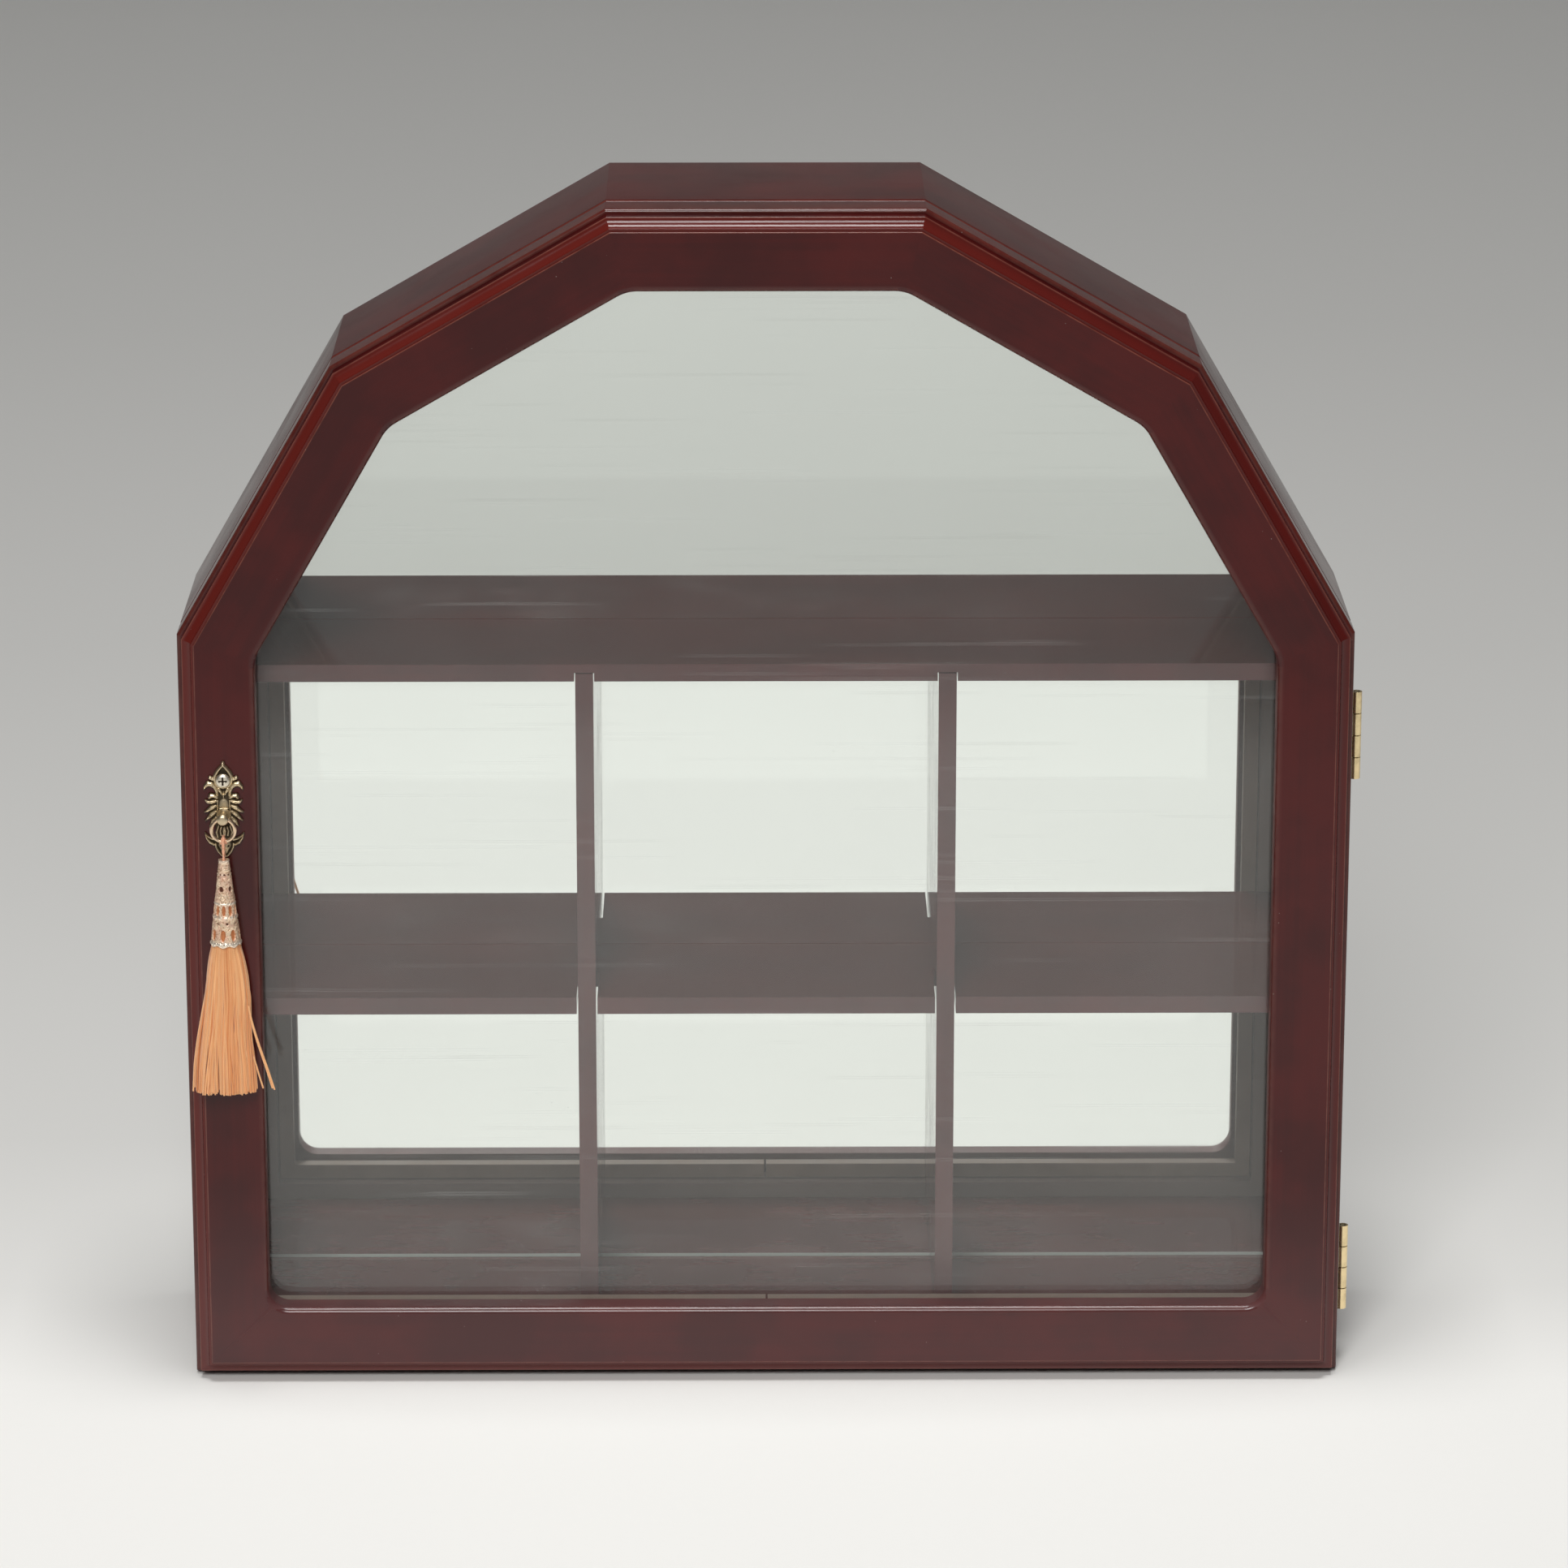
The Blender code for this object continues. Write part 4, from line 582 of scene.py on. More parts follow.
@once
def metal(name):
    """Cast or drawn metal with tarnish, fine scratches and dark pits by the "pit" attribute."""
    tone, pit_tone, rough_low, rough_high, scale = METALS[name]
    light, deep = getattr(colours(), tone), getattr(colours(), pit_tone)
    finish = Finish(name)
    place = finish.position()
    clouds = finish.noise(place, scale, 4.0, 0.6)
    brushed = finish.noise(finish.mapped(place, stretch=(1.0, 1.0, 0.15)), scale * 12.0, 2.0)
    pits = finish.attribute("pit")
    tarnish = finish.ramp(clouds, 0.42, 0.72, 0.0, 0.45)
    ground = finish.mix(tarnish, light, tuple(0.55 * c for c in light))
    ground = finish.mix(finish.held(pits), ground, deep)
    rough = finish.ramp(clouds * 0.6 + brushed * 0.4, 0.3, 0.7, rough_low, rough_high) + pits * 0.3
    normal = finish.bump(brushed * 0.5 + clouds * 0.5, 0.00003, 0.4)
    inputs = {"base_color": ground, "metallic": 1.0, "roughness": rough, "normal": normal}
    return finish.done(finish.surface(**inputs))


@once
def filigree():
    """Rose gold of the cap, with painted highlights on its ridges, painted shade in its fine crevices, holes
    painted dark as shade and slots that show the silk inside in painted shade.
    """
    shade = colours()
    finish = Finish("rose_gold_filigree")
    place = finish.position()
    clouds = finish.noise(place, 520.0, 3.0, 0.6)
    hole = finish.held(finish.attribute("hole"))
    slot = finish.held(finish.attribute("slot"))
    painted_glint = finish.held(finish.attribute("painted_glint"))
    ground = finish.mix(finish.ramp(clouds, 0.40, 0.66), shade.rose_gold, shade.rose_deep)
    # Painted shade in fine crevices, which the bump also sinks
    crevices = finish.ramp(finish.noise(place, 1700.0, 2.0, 0.5), 0.49, 0.62)
    ground = finish.mix(crevices * 0.66, ground, shade.cap_crevice_shade)
    # Painted highlights on the ridges and pearls, which are also made more metallic
    ground = finish.mix(painted_glint * 0.8, ground, shade.cap_glint)
    # Painted shade inside the sunken holes
    ground = finish.mix(hole, ground, shade.cap_hole_shade)
    fibre = finish.noise(finish.mapped(place, stretch=(2600.0, 2600.0, 90.0)), 1.0, 2.0)
    # Silk in shade, painted inside the sunken slots
    ground = finish.mix(slot, ground, finish.mix(fibre * 0.6, shade.cap_shaded_silk, shade.silk))
    rough = finish.ramp(clouds, 0.3, 0.7, 0.24, 0.36) + hole * 0.3 + slot * 0.3
    metallic = finish.held(0.62 + painted_glint * 0.2 - hole - slot)
    normal = finish.bump(finish.noise(place, 2600.0, 2.0) * 0.3 - crevices, 0.00012, 0.7)
    inputs = {"base_color": ground, "metallic": metallic, "roughness": rough, "normal": normal}
    return finish.done(finish.surface(**inputs))


@once
def apricot_silk(tint):
    """Silk yarn: each strand has its own tone, and the "ply" attribute gives its turn, run and twist; the
    grooves between its plies are painted in shade.
    """
    shade = colours()
    finish = Finish("apricot_" + tint)
    place = finish.position()
    tone = finish.attribute("tone")
    ply = finish.attribute("ply", "Vector")
    turn, twist = finish.axis(ply, X), finish.axis(ply, Z)
    plies = 2
    wave = turn.math("SINE", turn * (plies * 2.0 * math.pi)) * 0.5 + 0.5
    groove = (1.0 - finish.ramp(wave, 0.0, 0.6)) * twist
    fibre = finish.noise(finish.mapped(ply, stretch=(9.0, 420.0, 1.0)), 1.0, 3.0)
    if tint == "silk":
        ground = finish.mix(tone, shade.silk_dark, shade.silk_light)
        ground = finish.mix(finish.ramp(fibre, 0.35, 0.7) * 0.4, ground, shade.silk)
    else:
        ground = finish.mix(finish.ramp(fibre, 0.35, 0.7), shade.thread, shade.thread_light)
    # Painted shade in the grooves between the plies
    ground = finish.mix(groove * 0.6, ground, shade.yarn_groove_shade)
    normal = finish.bump(fibre * 0.35 - groove * 0.8, 0.00008, 0.8)
    rough = finish.ramp(finish.noise(place, 500.0, 2.0), 0.3, 0.7, 0.34, 0.5)
    inputs = {"base_color": ground, "roughness": rough, "normal": normal}
    sheen = {"sheen_weight": 0.3, "sheen_roughness": 0.35, "specular_ior_level": 0.6}
    return finish.done(finish.surface(**inputs, **sheen))


@once
def satin(name, tone, rough):
    """Plain satin plastic or ferrite with faint mottling."""
    finish = Finish(name)
    place = finish.position()
    clouds = finish.noise(place, 90.0, 3.0, 0.6)
    dark = getattr(colours(), tone)
    light = tuple(min(1.0, 1.2 * c) for c in dark)
    ground = finish.mix(finish.ramp(clouds, 0.3, 0.7), dark, light)
    gloss = finish.ramp(clouds, 0.3, 0.7, rough, rough + 0.15)
    normal = finish.bump(finish.noise(place, 1800.0, 2.0), 0.00001, 0.2)
    inputs = {"base_color": ground, "roughness": gloss, "normal": normal}
    return finish.done(finish.surface(specular_ior_level=0.12, **inputs))


def placed(name, data):
    """A new object in the scene."""
    thing = bpy.data.objects.new(name, data)
    bpy.context.scene.collection.objects.link(thing)
    return thing


def new_piece(name, points, faces, finish, body, stands_for, smooth):
    """A mesh piece that rides on a body; smooth is the angle above which its edges stay sharp."""
    mesh = bpy.data.meshes.new(name)
    mesh.from_pydata([tuple(p) for p in points], [], [tuple(f) for f in faces])
    mesh.validate()
    bm = bmesh.new()
    bm.from_mesh(mesh)
    bmesh.ops.recalc_face_normals(bm, faces=bm.faces[:])
    bm.to_mesh(mesh)
    bm.free()
    piece = placed(name, mesh)
    mesh.materials.append(finish)
    soften(mesh, smooth)
    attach(piece, body)
    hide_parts(*stands_for)
    return piece


def soften(mesh, angle):
    """Shades a mesh smooth, apart from the edges that bend by more than an angle in degrees."""
    mesh.shade_smooth()
    mesh.set_sharp_from_angle(angle=math.radians(angle))


def store(piece, name, values, kind="FLOAT"):
    """Stores one value for each point of a piece, for its finish to read."""
    layer = piece.data.attributes.new(name, kind, "POINT")
    layer.data.foreach_set("vector" if kind == "FLOAT_VECTOR" else "value", np.ravel(values))


def arc(centre, radius, first, last, steps):
    """Points of an arc from one angle to another."""
    angles = [first + (last - first) * k / steps for k in range(steps + 1)]
    return [(centre[0] + radius * math.cos(a), centre[1] + radius * math.sin(a)) for a in angles]


def grid_faces(rows, columns, closed=False, looped=False):
    """Quads of a grid; closed joins its last column to its first, and looped its last row."""
    faces = []
    for i in range(rows if looped else rows - 1):
        near_row, far_row = i * columns, (i + 1) % rows * columns
        for j in range(columns if closed else columns - 1):
            k = (j + 1) % columns
            faces.append((near_row + j, near_row + k, far_row + k, far_row + j))
    return faces


def turned(x, z, profile, sides):
    """Points of a piece turned about a line from front to back: a ring of them for each (radius, y)."""
    angles = [2 * math.pi * k / sides for k in range(sides)]
    return [(x + r * math.cos(a), y, z + r * math.sin(a)) for r, y in profile for a in angles]


def lengths_along(path):
    """Distance of each point of a path from its first, along it."""
    steps = np.linalg.norm(np.diff(path, axis=0), axis=1)
    return np.concatenate([[0.0], np.cumsum(steps)])


def outline(offset, base):
    """Corners of the cabinet's front, moved in by an offset: a flat foot and half a twelve-sided arch."""
    size = sizes()
    apothem = size.half_width - offset
    radius = apothem / math.cos(math.pi / ARCH_FACETS)
    spring = size.height - size.half_width
    corners = [Vector((-apothem, base + offset)), Vector((apothem, base + offset))]
    for k in range(ARCH_FACETS // 2):
        angle = math.pi * (2 * k + 1) / ARCH_FACETS
        corners.append(Vector((radius * math.cos(angle), spring + radius * math.sin(angle))))
    return corners


def rounded_corners(offset, base, bottom_radius, arch_radius):
    """For each corner, the points of its round."""
    corners = outline(offset, base)
    rounds = []
    for k, corner in enumerate(corners):
        before = (corner - corners[k - 1]).normalized()
        after = (corners[(k + 1) % EDGES] - corner).normalized()
        radius = bottom_radius if k < 2 else arch_radius
        turn = before.angle(after)
        inward = Vector((-before.y, before.x))
        centre = corner - before * radius * math.tan(turn / 2) + inward * radius
        points = []
        steps = 2 * CORNER_HALF_STEPS
        for step in range(steps + 1):
            spoke = -inward
            spoke.rotate(Matrix.Rotation(turn * step / steps, 2))
            points.append(centre + spoke * radius)
        rounds.append(points)
    return rounds


def moulding(name, index, profile, base, body, node):
    """One length of the case or door from mitre to mitre, its profile as the door's gives it."""
    columns = []
    for offset, y, bottom_radius, arch_radius, _ in profile:
        rounds = rounded_corners(offset, base, bottom_radius, arch_radius)
        run = rounds[index][CORNER_HALF_STEPS:] + rounds[(index + 1) % EDGES][: CORNER_HALF_STEPS + 1]
        columns.append([(point.x, y, point.y) for point in run])
    width = len(columns[0])
    points = [p for column in columns for p in column]
    faces = [(a, d, c, b) for a, b, c, d in grid_faces(len(profile), width, looped=True)]
    faces += [range(0, len(points), width)[::-1], range(width - 1, len(points), width)]
    finish = cherry_lacquer("rail")
    return new_piece(name, points, faces, finish, body, [node], MOULDING_BEND)


def mark_run(piece, index, profile, base):
    """Stores the grain's run and the edges' wear, with the lip's painted highlight, of one length of
    moulding.
    """
    corners = outline(0.0, base)
    start = corners[index]
    along = (corners[(index + 1) % EDGES] - start).normalized()
    inward = Vector((-along.y, along.x))
    places = np.array([tuple(v.co) for v in piece.data.vertices])
    flat = places[:, [X, Z]] - np.array(start)
    own_grain = 0.7 * index
    runs = np.column_stack((flat @ np.array(along) + own_grain, flat @ np.array(inward), places[:, Y]))
    section = np.array([(offset, y) for offset, y, *_ in profile])
    amounts = np.array([wear for *_, wear in profile])
    gaps = np.linalg.norm(runs[:, None, 1:3] - section[None, :, :], axis=2)
    touching = 0.03 * MM
    wear = np.where(gaps.min(axis=1) < touching, amounts[gaps.argmin(axis=1)], 0.0)
    store(piece, "run", runs, "FLOAT_VECTOR")
    store(piece, "wear", wear)
    return runs


def cut_box(piece, low, high):
    """Cuts a box out of a piece."""
    bpy.ops.mesh.primitive_cube_add(size=1.0, location=[(a + b) / 2 for a, b in zip(low, high)])
    cutter = bpy.context.object
    cutter.scale = [b - a for a, b in zip(low, high)]
    subtract(piece, cutter)


def subtract(piece, cutter):
    """Takes a cutter's shape out of a piece, and the cutter away."""
    cutter.data.materials.append(piece.data.materials[0])
    modifier = piece.modifiers.new("cut", "BOOLEAN")
    modifier.operation, modifier.solver, modifier.object = "DIFFERENCE", "EXACT", cutter
    bake_modifiers(piece)
    bpy.data.objects.remove(cutter)


def bake_modifiers(piece):
    """Turns what a piece's modifiers make into its mesh."""
    depsgraph = bpy.context.evaluated_depsgraph_get()
    mesh = bpy.data.meshes.new_from_object(piece.evaluated_get(depsgraph))
    piece.modifiers.clear()
    piece.data = mesh


def hinge_recess(piece, leaf_kind):
    """Cuts the recesses of both hinges' leaves."""
    past_the_side = sizes().half_width + MM
    for level in ("upper", "lower"):
        low, high = ends(f"hinge_{level}_{leaf_kind}")
        cut_box(piece, low, (past_the_side, high[Y], high[Z]))
    soften(piece.data, MOULDING_BEND)


class Maker:
    """Shared settings of the cabinet's operators."""

    bl_options = {"REGISTER", "UNDO"}


class CURIO_OT_case(Maker, bpy.types.Operator):
    """Build the eight boards of the case"""

    bl_idname = "curio.case"
    bl_label = "Case boards"

    def execute(self, context):
        size = sizes()
        mitre, arris = size.mitre_radius, size.case_arris
        front, back = near("side_board_right", Y), far("side_board_right", Y)
        room = 0.3 * MM
        seat, rear = near("mirror", Y) - room, far("mirror", Y)
        mirror_wall, back_wall = size.board - size.mirror_rebate, size.board - size.back_rebate
        edge = arc((arris, front + arris), arris, math.pi, 1.5 * math.pi, 8)
        rubbed, rub = edge[2:7], 0.3
        plain = [(0.0, back), *edge, (size.board, front), (size.board, seat), (mirror_wall, seat)]
        plain += [(mirror_wall, rear), (back_wall, rear), (back_wall, back)]
        profile = [(offset, y, mitre, mitre, rub * ((offset, y) in rubbed)) for offset, y in plain]
        for index, node in enumerate(BOARD_NODES):
            piece = moulding("case_" + node, index, profile, 0.0, "case", node)
            if node == "side_board_right":
                hinge_recess(piece, "case_leaf")
            runs = mark_run(piece, index, profile, 0.0)
            store(piece, "inner", runs[:, 1] > mirror_wall)
        for node in ("upper_shelf", "middle_shelf", "divider_left", "divider_right"):
            refinish(node, cherry_lacquer("upright" if node.startswith("divider") else "level"))
        return {"FINISHED"}


@once
def smooth_but_corners():
    """A modifier's nodes that weld a solid's faces and shade it smooth, apart from its sharp edges."""
    group = bpy.data.node_groups.new("smooth_but_corners", "GeometryNodeTree")
    for way in ("INPUT", "OUTPUT"):
        group.interface.new_socket("Geometry", in_out=way, socket_type="NodeSocketGeometry")
    kinds = ["NodeGroupInput", "GeometryNodeMergeByDistance", "GeometryNodeRemoveAttribute"]
    kinds += ["GeometryNodeSetShadeSmooth", "GeometryNodeSetShadeSmooth", "NodeGroupOutput"]
    row = [group.nodes.new(kind) for kind in kinds]
    for before, after in zip(row, row[1:]):
        group.links.new(before.outputs[0], after.inputs[0])
    _, weld, plain, _, corners, _ = row
    weld.inputs["Distance"].default_value = WELD_GAP
    plain.inputs["Name"].default_value = "custom_normal"
    bend = group.nodes.new("GeometryNodeInputMeshEdgeAngle")
    sharp = group.nodes.new("FunctionNodeCompare")
    corners.domain, sharp.operation = "EDGE", "GREATER_THAN"
    corners.inputs["Shade Smooth"].default_value = False
    sharp.inputs[1].default_value = math.radians(SHARP_BEND)
    group.links.new(bend.outputs["Unsigned Angle"], sharp.inputs[0])
    group.links.new(sharp.outputs[0], corners.inputs["Selection"])
    return group


def refinish(node, finish, arris=0.0):
    """Gives a solid of the frame its finish, shades its round faces smooth and may round its edges."""
    piece = NODES[node]
    piece.data.materials.clear()
    piece.data.materials.append(finish)
    piece.modifiers.new("round", "NODES").node_group = smooth_but_corners()
    if arris:
        bevel = piece.modifiers.new("arris", "BEVEL")
        bevel.width, bevel.segments, bevel.limit_method = arris, 3, "ANGLE"
        bevel.angle_limit = math.radians(SHARP_BEND)
        bevel.harden_normals = True


class CURIO_OT_door(Maker, bpy.types.Operator):
    """Build the eight rails of the door"""

    bl_idname = "curio.door"
    bl_label = "Door frame"

    def profile(self, lip_highlight):
        """Section of a rail from the back's outer edge: (offset, y, bottom round, arch round, wear and
        painted highlight).
        """
        size = sizes()
        front, back = near("door_stile_left", Y), far("door_stile_left", Y)
        mitre, fine = size.mitre_radius, size.fine_arris
        guard, deep_round = 0.2 * MM, 0.5 * MM
        step_wear, ledge_wear, face_wear = 0.25, 0.6, 0.75
        quarter = math.pi / 2

        def sharp(points, wear=0.0):
            return [(offset, y, mitre, mitre, wear) for offset, y in points]

        def rubbed_edge(offset, y, wear):
            """A small arris that wear has thinned, with a plain ring on each side to end the wear."""
            bend = arc((offset + fine, y + fine), fine, 2 * quarter, 3 * quarter, 4)
            before = sharp([(offset, y + fine + guard)])
            return before + sharp(bend, wear) + sharp([(offset + fine + guard, y)])

        ledge, shoulder = front + size.step_depth, front + size.ledge_depth
        cove_y = shoulder - size.cove_radius
        cove = arc((size.ledge_offset, cove_y), size.cove_radius, quarter, 0.0, 10)
        profile = sharp([(size.back_arris, back), (0.0, back - size.back_arris)])
        profile += sharp(arc((MM, ledge + MM), MM, 2 * quarter, 3 * quarter, 6), step_wear)
        profile += sharp([(size.step_width - guard, ledge), (size.step_width, ledge)])
        profile += rubbed_edge(size.step_width, shoulder, ledge_wear)
        profile += sharp(cove[1:])
        profile += sharp([(size.face_setback, cove_y)])
        profile += rubbed_edge(size.face_setback, front, face_wear)
        profile += self.lip(front, lip_highlight)
        seat, rebate = front + size.glass_shoulder, size.rail_width - size.glass_rebate
        profile.append((size.rail_width, seat, size.bottom_corner, size.arch_corner, 0.0))
        return profile + [(rebate, y, deep_round, deep_round, 0.0) for y in (seat, back)]

    def lip(self, front, lip_highlight):
        """The opening's rounded front edge, a little worn over its round, and with a painted highlight where
        it ends.
        """
        size = sizes()
        radius, steps, worn_steps = size.opening_arris, 12, 2
        round_wear = 0.2
        points = []
        for step in range(steps + 1):
            angle = math.pi / 2 * step / steps
            inset = radius * (1 - math.sin(angle))
            y = front + radius * (1 - math.cos(angle))
            wear = round_wear * max(0.0, math.sin(2 * angle)) ** 2
            # A painted highlight in the worn colour along the lip's last steps
            wear += lip_highlight * (step > steps - worn_steps)
            rounds = (size.bottom_corner + inset, size.arch_corner + inset)
            points.append((size.rail_width - inset, y, *rounds, wear))
        return points

    def execute(self, context):
        size = sizes()
        front, back = near("door_stile_left", Y), far("door_stile_left", Y)
        hair, margin, lip_highlight = 0.1 * MM, 0.5 * MM, 0.6
        for index, node in enumerate(RAIL_NODES):
            # Every rail but the bottom one gets a painted highlight along its lip
            profile = self.profile(0.0 if node == "door_rail_bottom" else lip_highlight)
            piece = moulding("frame_" + node, index, profile, size.door_lift, "door", node)
            if node == "door_stile_right":
                hinge_recess(piece, "door_leaf")
            _, offset, y = mark_run(piece, index, profile, size.door_lift).T
            deep = (y > front + margin) & (offset > size.step_width + hair)
            store(piece, "cove", deep & (offset < size.face_setback + hair))
            store(piece, "reveal", (offset > size.rail_width - 1.5 * hair) & (y < back - margin))
            store(piece, "behind", (y > back - hair) & (offset > 2 * size.back_arris))
        return {"FINISHED"}


class CURIO_OT_glazing(Maker, bpy.types.Operator):
    """Finish the door's glass, its retaining strip, the mirror and the back"""

    bl_idname = "curio.glazing"
    bl_label = "Glass, mirror and back"

    def execute(self, context):
        refinish("glass_pane", clear_glass())
        refinish("mirror", silvered_glass())
        refinish("back_panel", brown_hardboard())
        refinish("glass_retainer", satin("brown_plastic", "plastic", 0.5))
        return {"FINISHED"}


class CURIO_OT_hardware(Maker, bpy.types.Operator):
    """Finish the hinges, the catch, the hanger and the brads"""

    bl_idname = "curio.hardware"
    bl_label = "Hinges, catch and hanger"

    def execute(self, context):
        leaf_arris = 0.12 * MM
        for node in NODES:
            if node.startswith("hinge_"):
                refinish(node, metal("bright_brass"), leaf_arris if node.endswith("leaf") else 0.0)
            elif node.startswith(("hanger", "back_panel_brad", "catch_strike")):
                refinish(node, metal("zinc_steel"))
            elif node == "catch_magnet":
                refinish(node, satin("ferrite", "magnet", 0.4))
        return {"FINISHED"}


def gap_and_reach(places, start, end):
    """Distance of each place from the line between two ridge points, and the ridge's radius there."""
    first, last = np.array(start[:2]), np.array(end[:2])
    step = last - first
    span = max(float(step @ step), 1e-9)
    share = np.clip((places - first) @ step / span, 0.0, 1.0)
    gap = np.linalg.norm(places - first - share[:, None] * step, axis=1)
    return gap, start[2] + (end[2] - start[2]) * share


def both_sides(points):
    """A run of points and its mirror image."""
    return points, tuple((-a, d, r) for a, d, r in points)


def plate_relief(places):
    """Height of the plate's ridges at each place, with a fine vein along each leaf's ridge."""
    vein_depth, vein_width, narrow = 0.35, 0.11, 0.36
    heights = np.zeros(len(places))
    for rise, points in PLATE_RIDGES:
        leaf = 0.8 < rise < 1.0
        for run in both_sides(points):
            for start, end in zip(run, run[1:]):
                gap, reach = gap_and_reach(places, start, end)
                vein = vein_depth * np.exp(-((gap / vein_width) ** 2)) * (reach > narrow) * leaf
                ridge = np.sqrt(np.clip(1 - (gap / reach) ** 2, 0.0, 1.0))
                heights = np.maximum(heights, rise * (1 - vein) * ridge)
    return heights


def plate_cover(places):
    """How far inside the plate's outline each place lies, in mm."""
    cover = np.full(len(places), -1.0)
    runs = [(0.1, run) for _, points in PLATE_RIDGES for run in both_sides(points)]
    runs += [(0.0, run) for points in PLATE_GROUND for run in both_sides(points)]
    for margin, run in runs:
        for start, end in zip(run, run[1:]):
            gap, reach = gap_and_reach(places, start, end)
            cover = np.maximum(cover, reach + margin - gap)
    for hole in PLATE_HOLES:
        gap, reach = gap_and_reach(places, hole, hole)
        cover = np.minimum(cover, gap - reach)
    return cover


def cut_sheet(across, down, cover):
    """Points and faces of the part of a flat grid where its cover is above zero."""
    points, known = [], {}

    def at(*corners):
        key = tuple(sorted(corners))
        if key not in known:
            ends = [np.array((across[j], down[i])) for i, j in key]
            place = ends[0]
            if len(key) == 2:
                first, last = (cover[i, j] for i, j in key)
                share = min(0.95, max(0.05, first / (first - last)))
                place = ends[0] + (ends[1] - ends[0]) * share
            known[key] = len(points)
            points.append(place)
        return known[key]

    faces = []
    for i in range(len(down) - 1):
        for j in range(len(across) - 1):
            loop = ((i, j), (i, j + 1), (i + 1, j + 1), (i + 1, j))
            inside = [cover[corner] > 0 for corner in loop]
            if not any(inside):
                continue
            face = []
            for k, corner in enumerate(loop):
                ahead = (k + 1) % 4
                if inside[k]:
                    face.append(at(corner))
                if inside[k] != inside[ahead]:
                    face.append(at(corner, loop[ahead]))
            faces.append(tuple(face))
    return np.array(points), faces


def closed_slab(faces, count):
    """Front faces, the same faces at the back, and the walls between their borders."""
    edges = Counter(tuple(sorted(edge)) for face in faces for edge in zip(face, face[1:] + face[:1]))
    walls = [(a, b, count + b, count + a) for (a, b), uses in edges.items() if uses == 1]
    return list(faces) + [tuple(count + k for k in face[::-1]) for face in faces] + walls


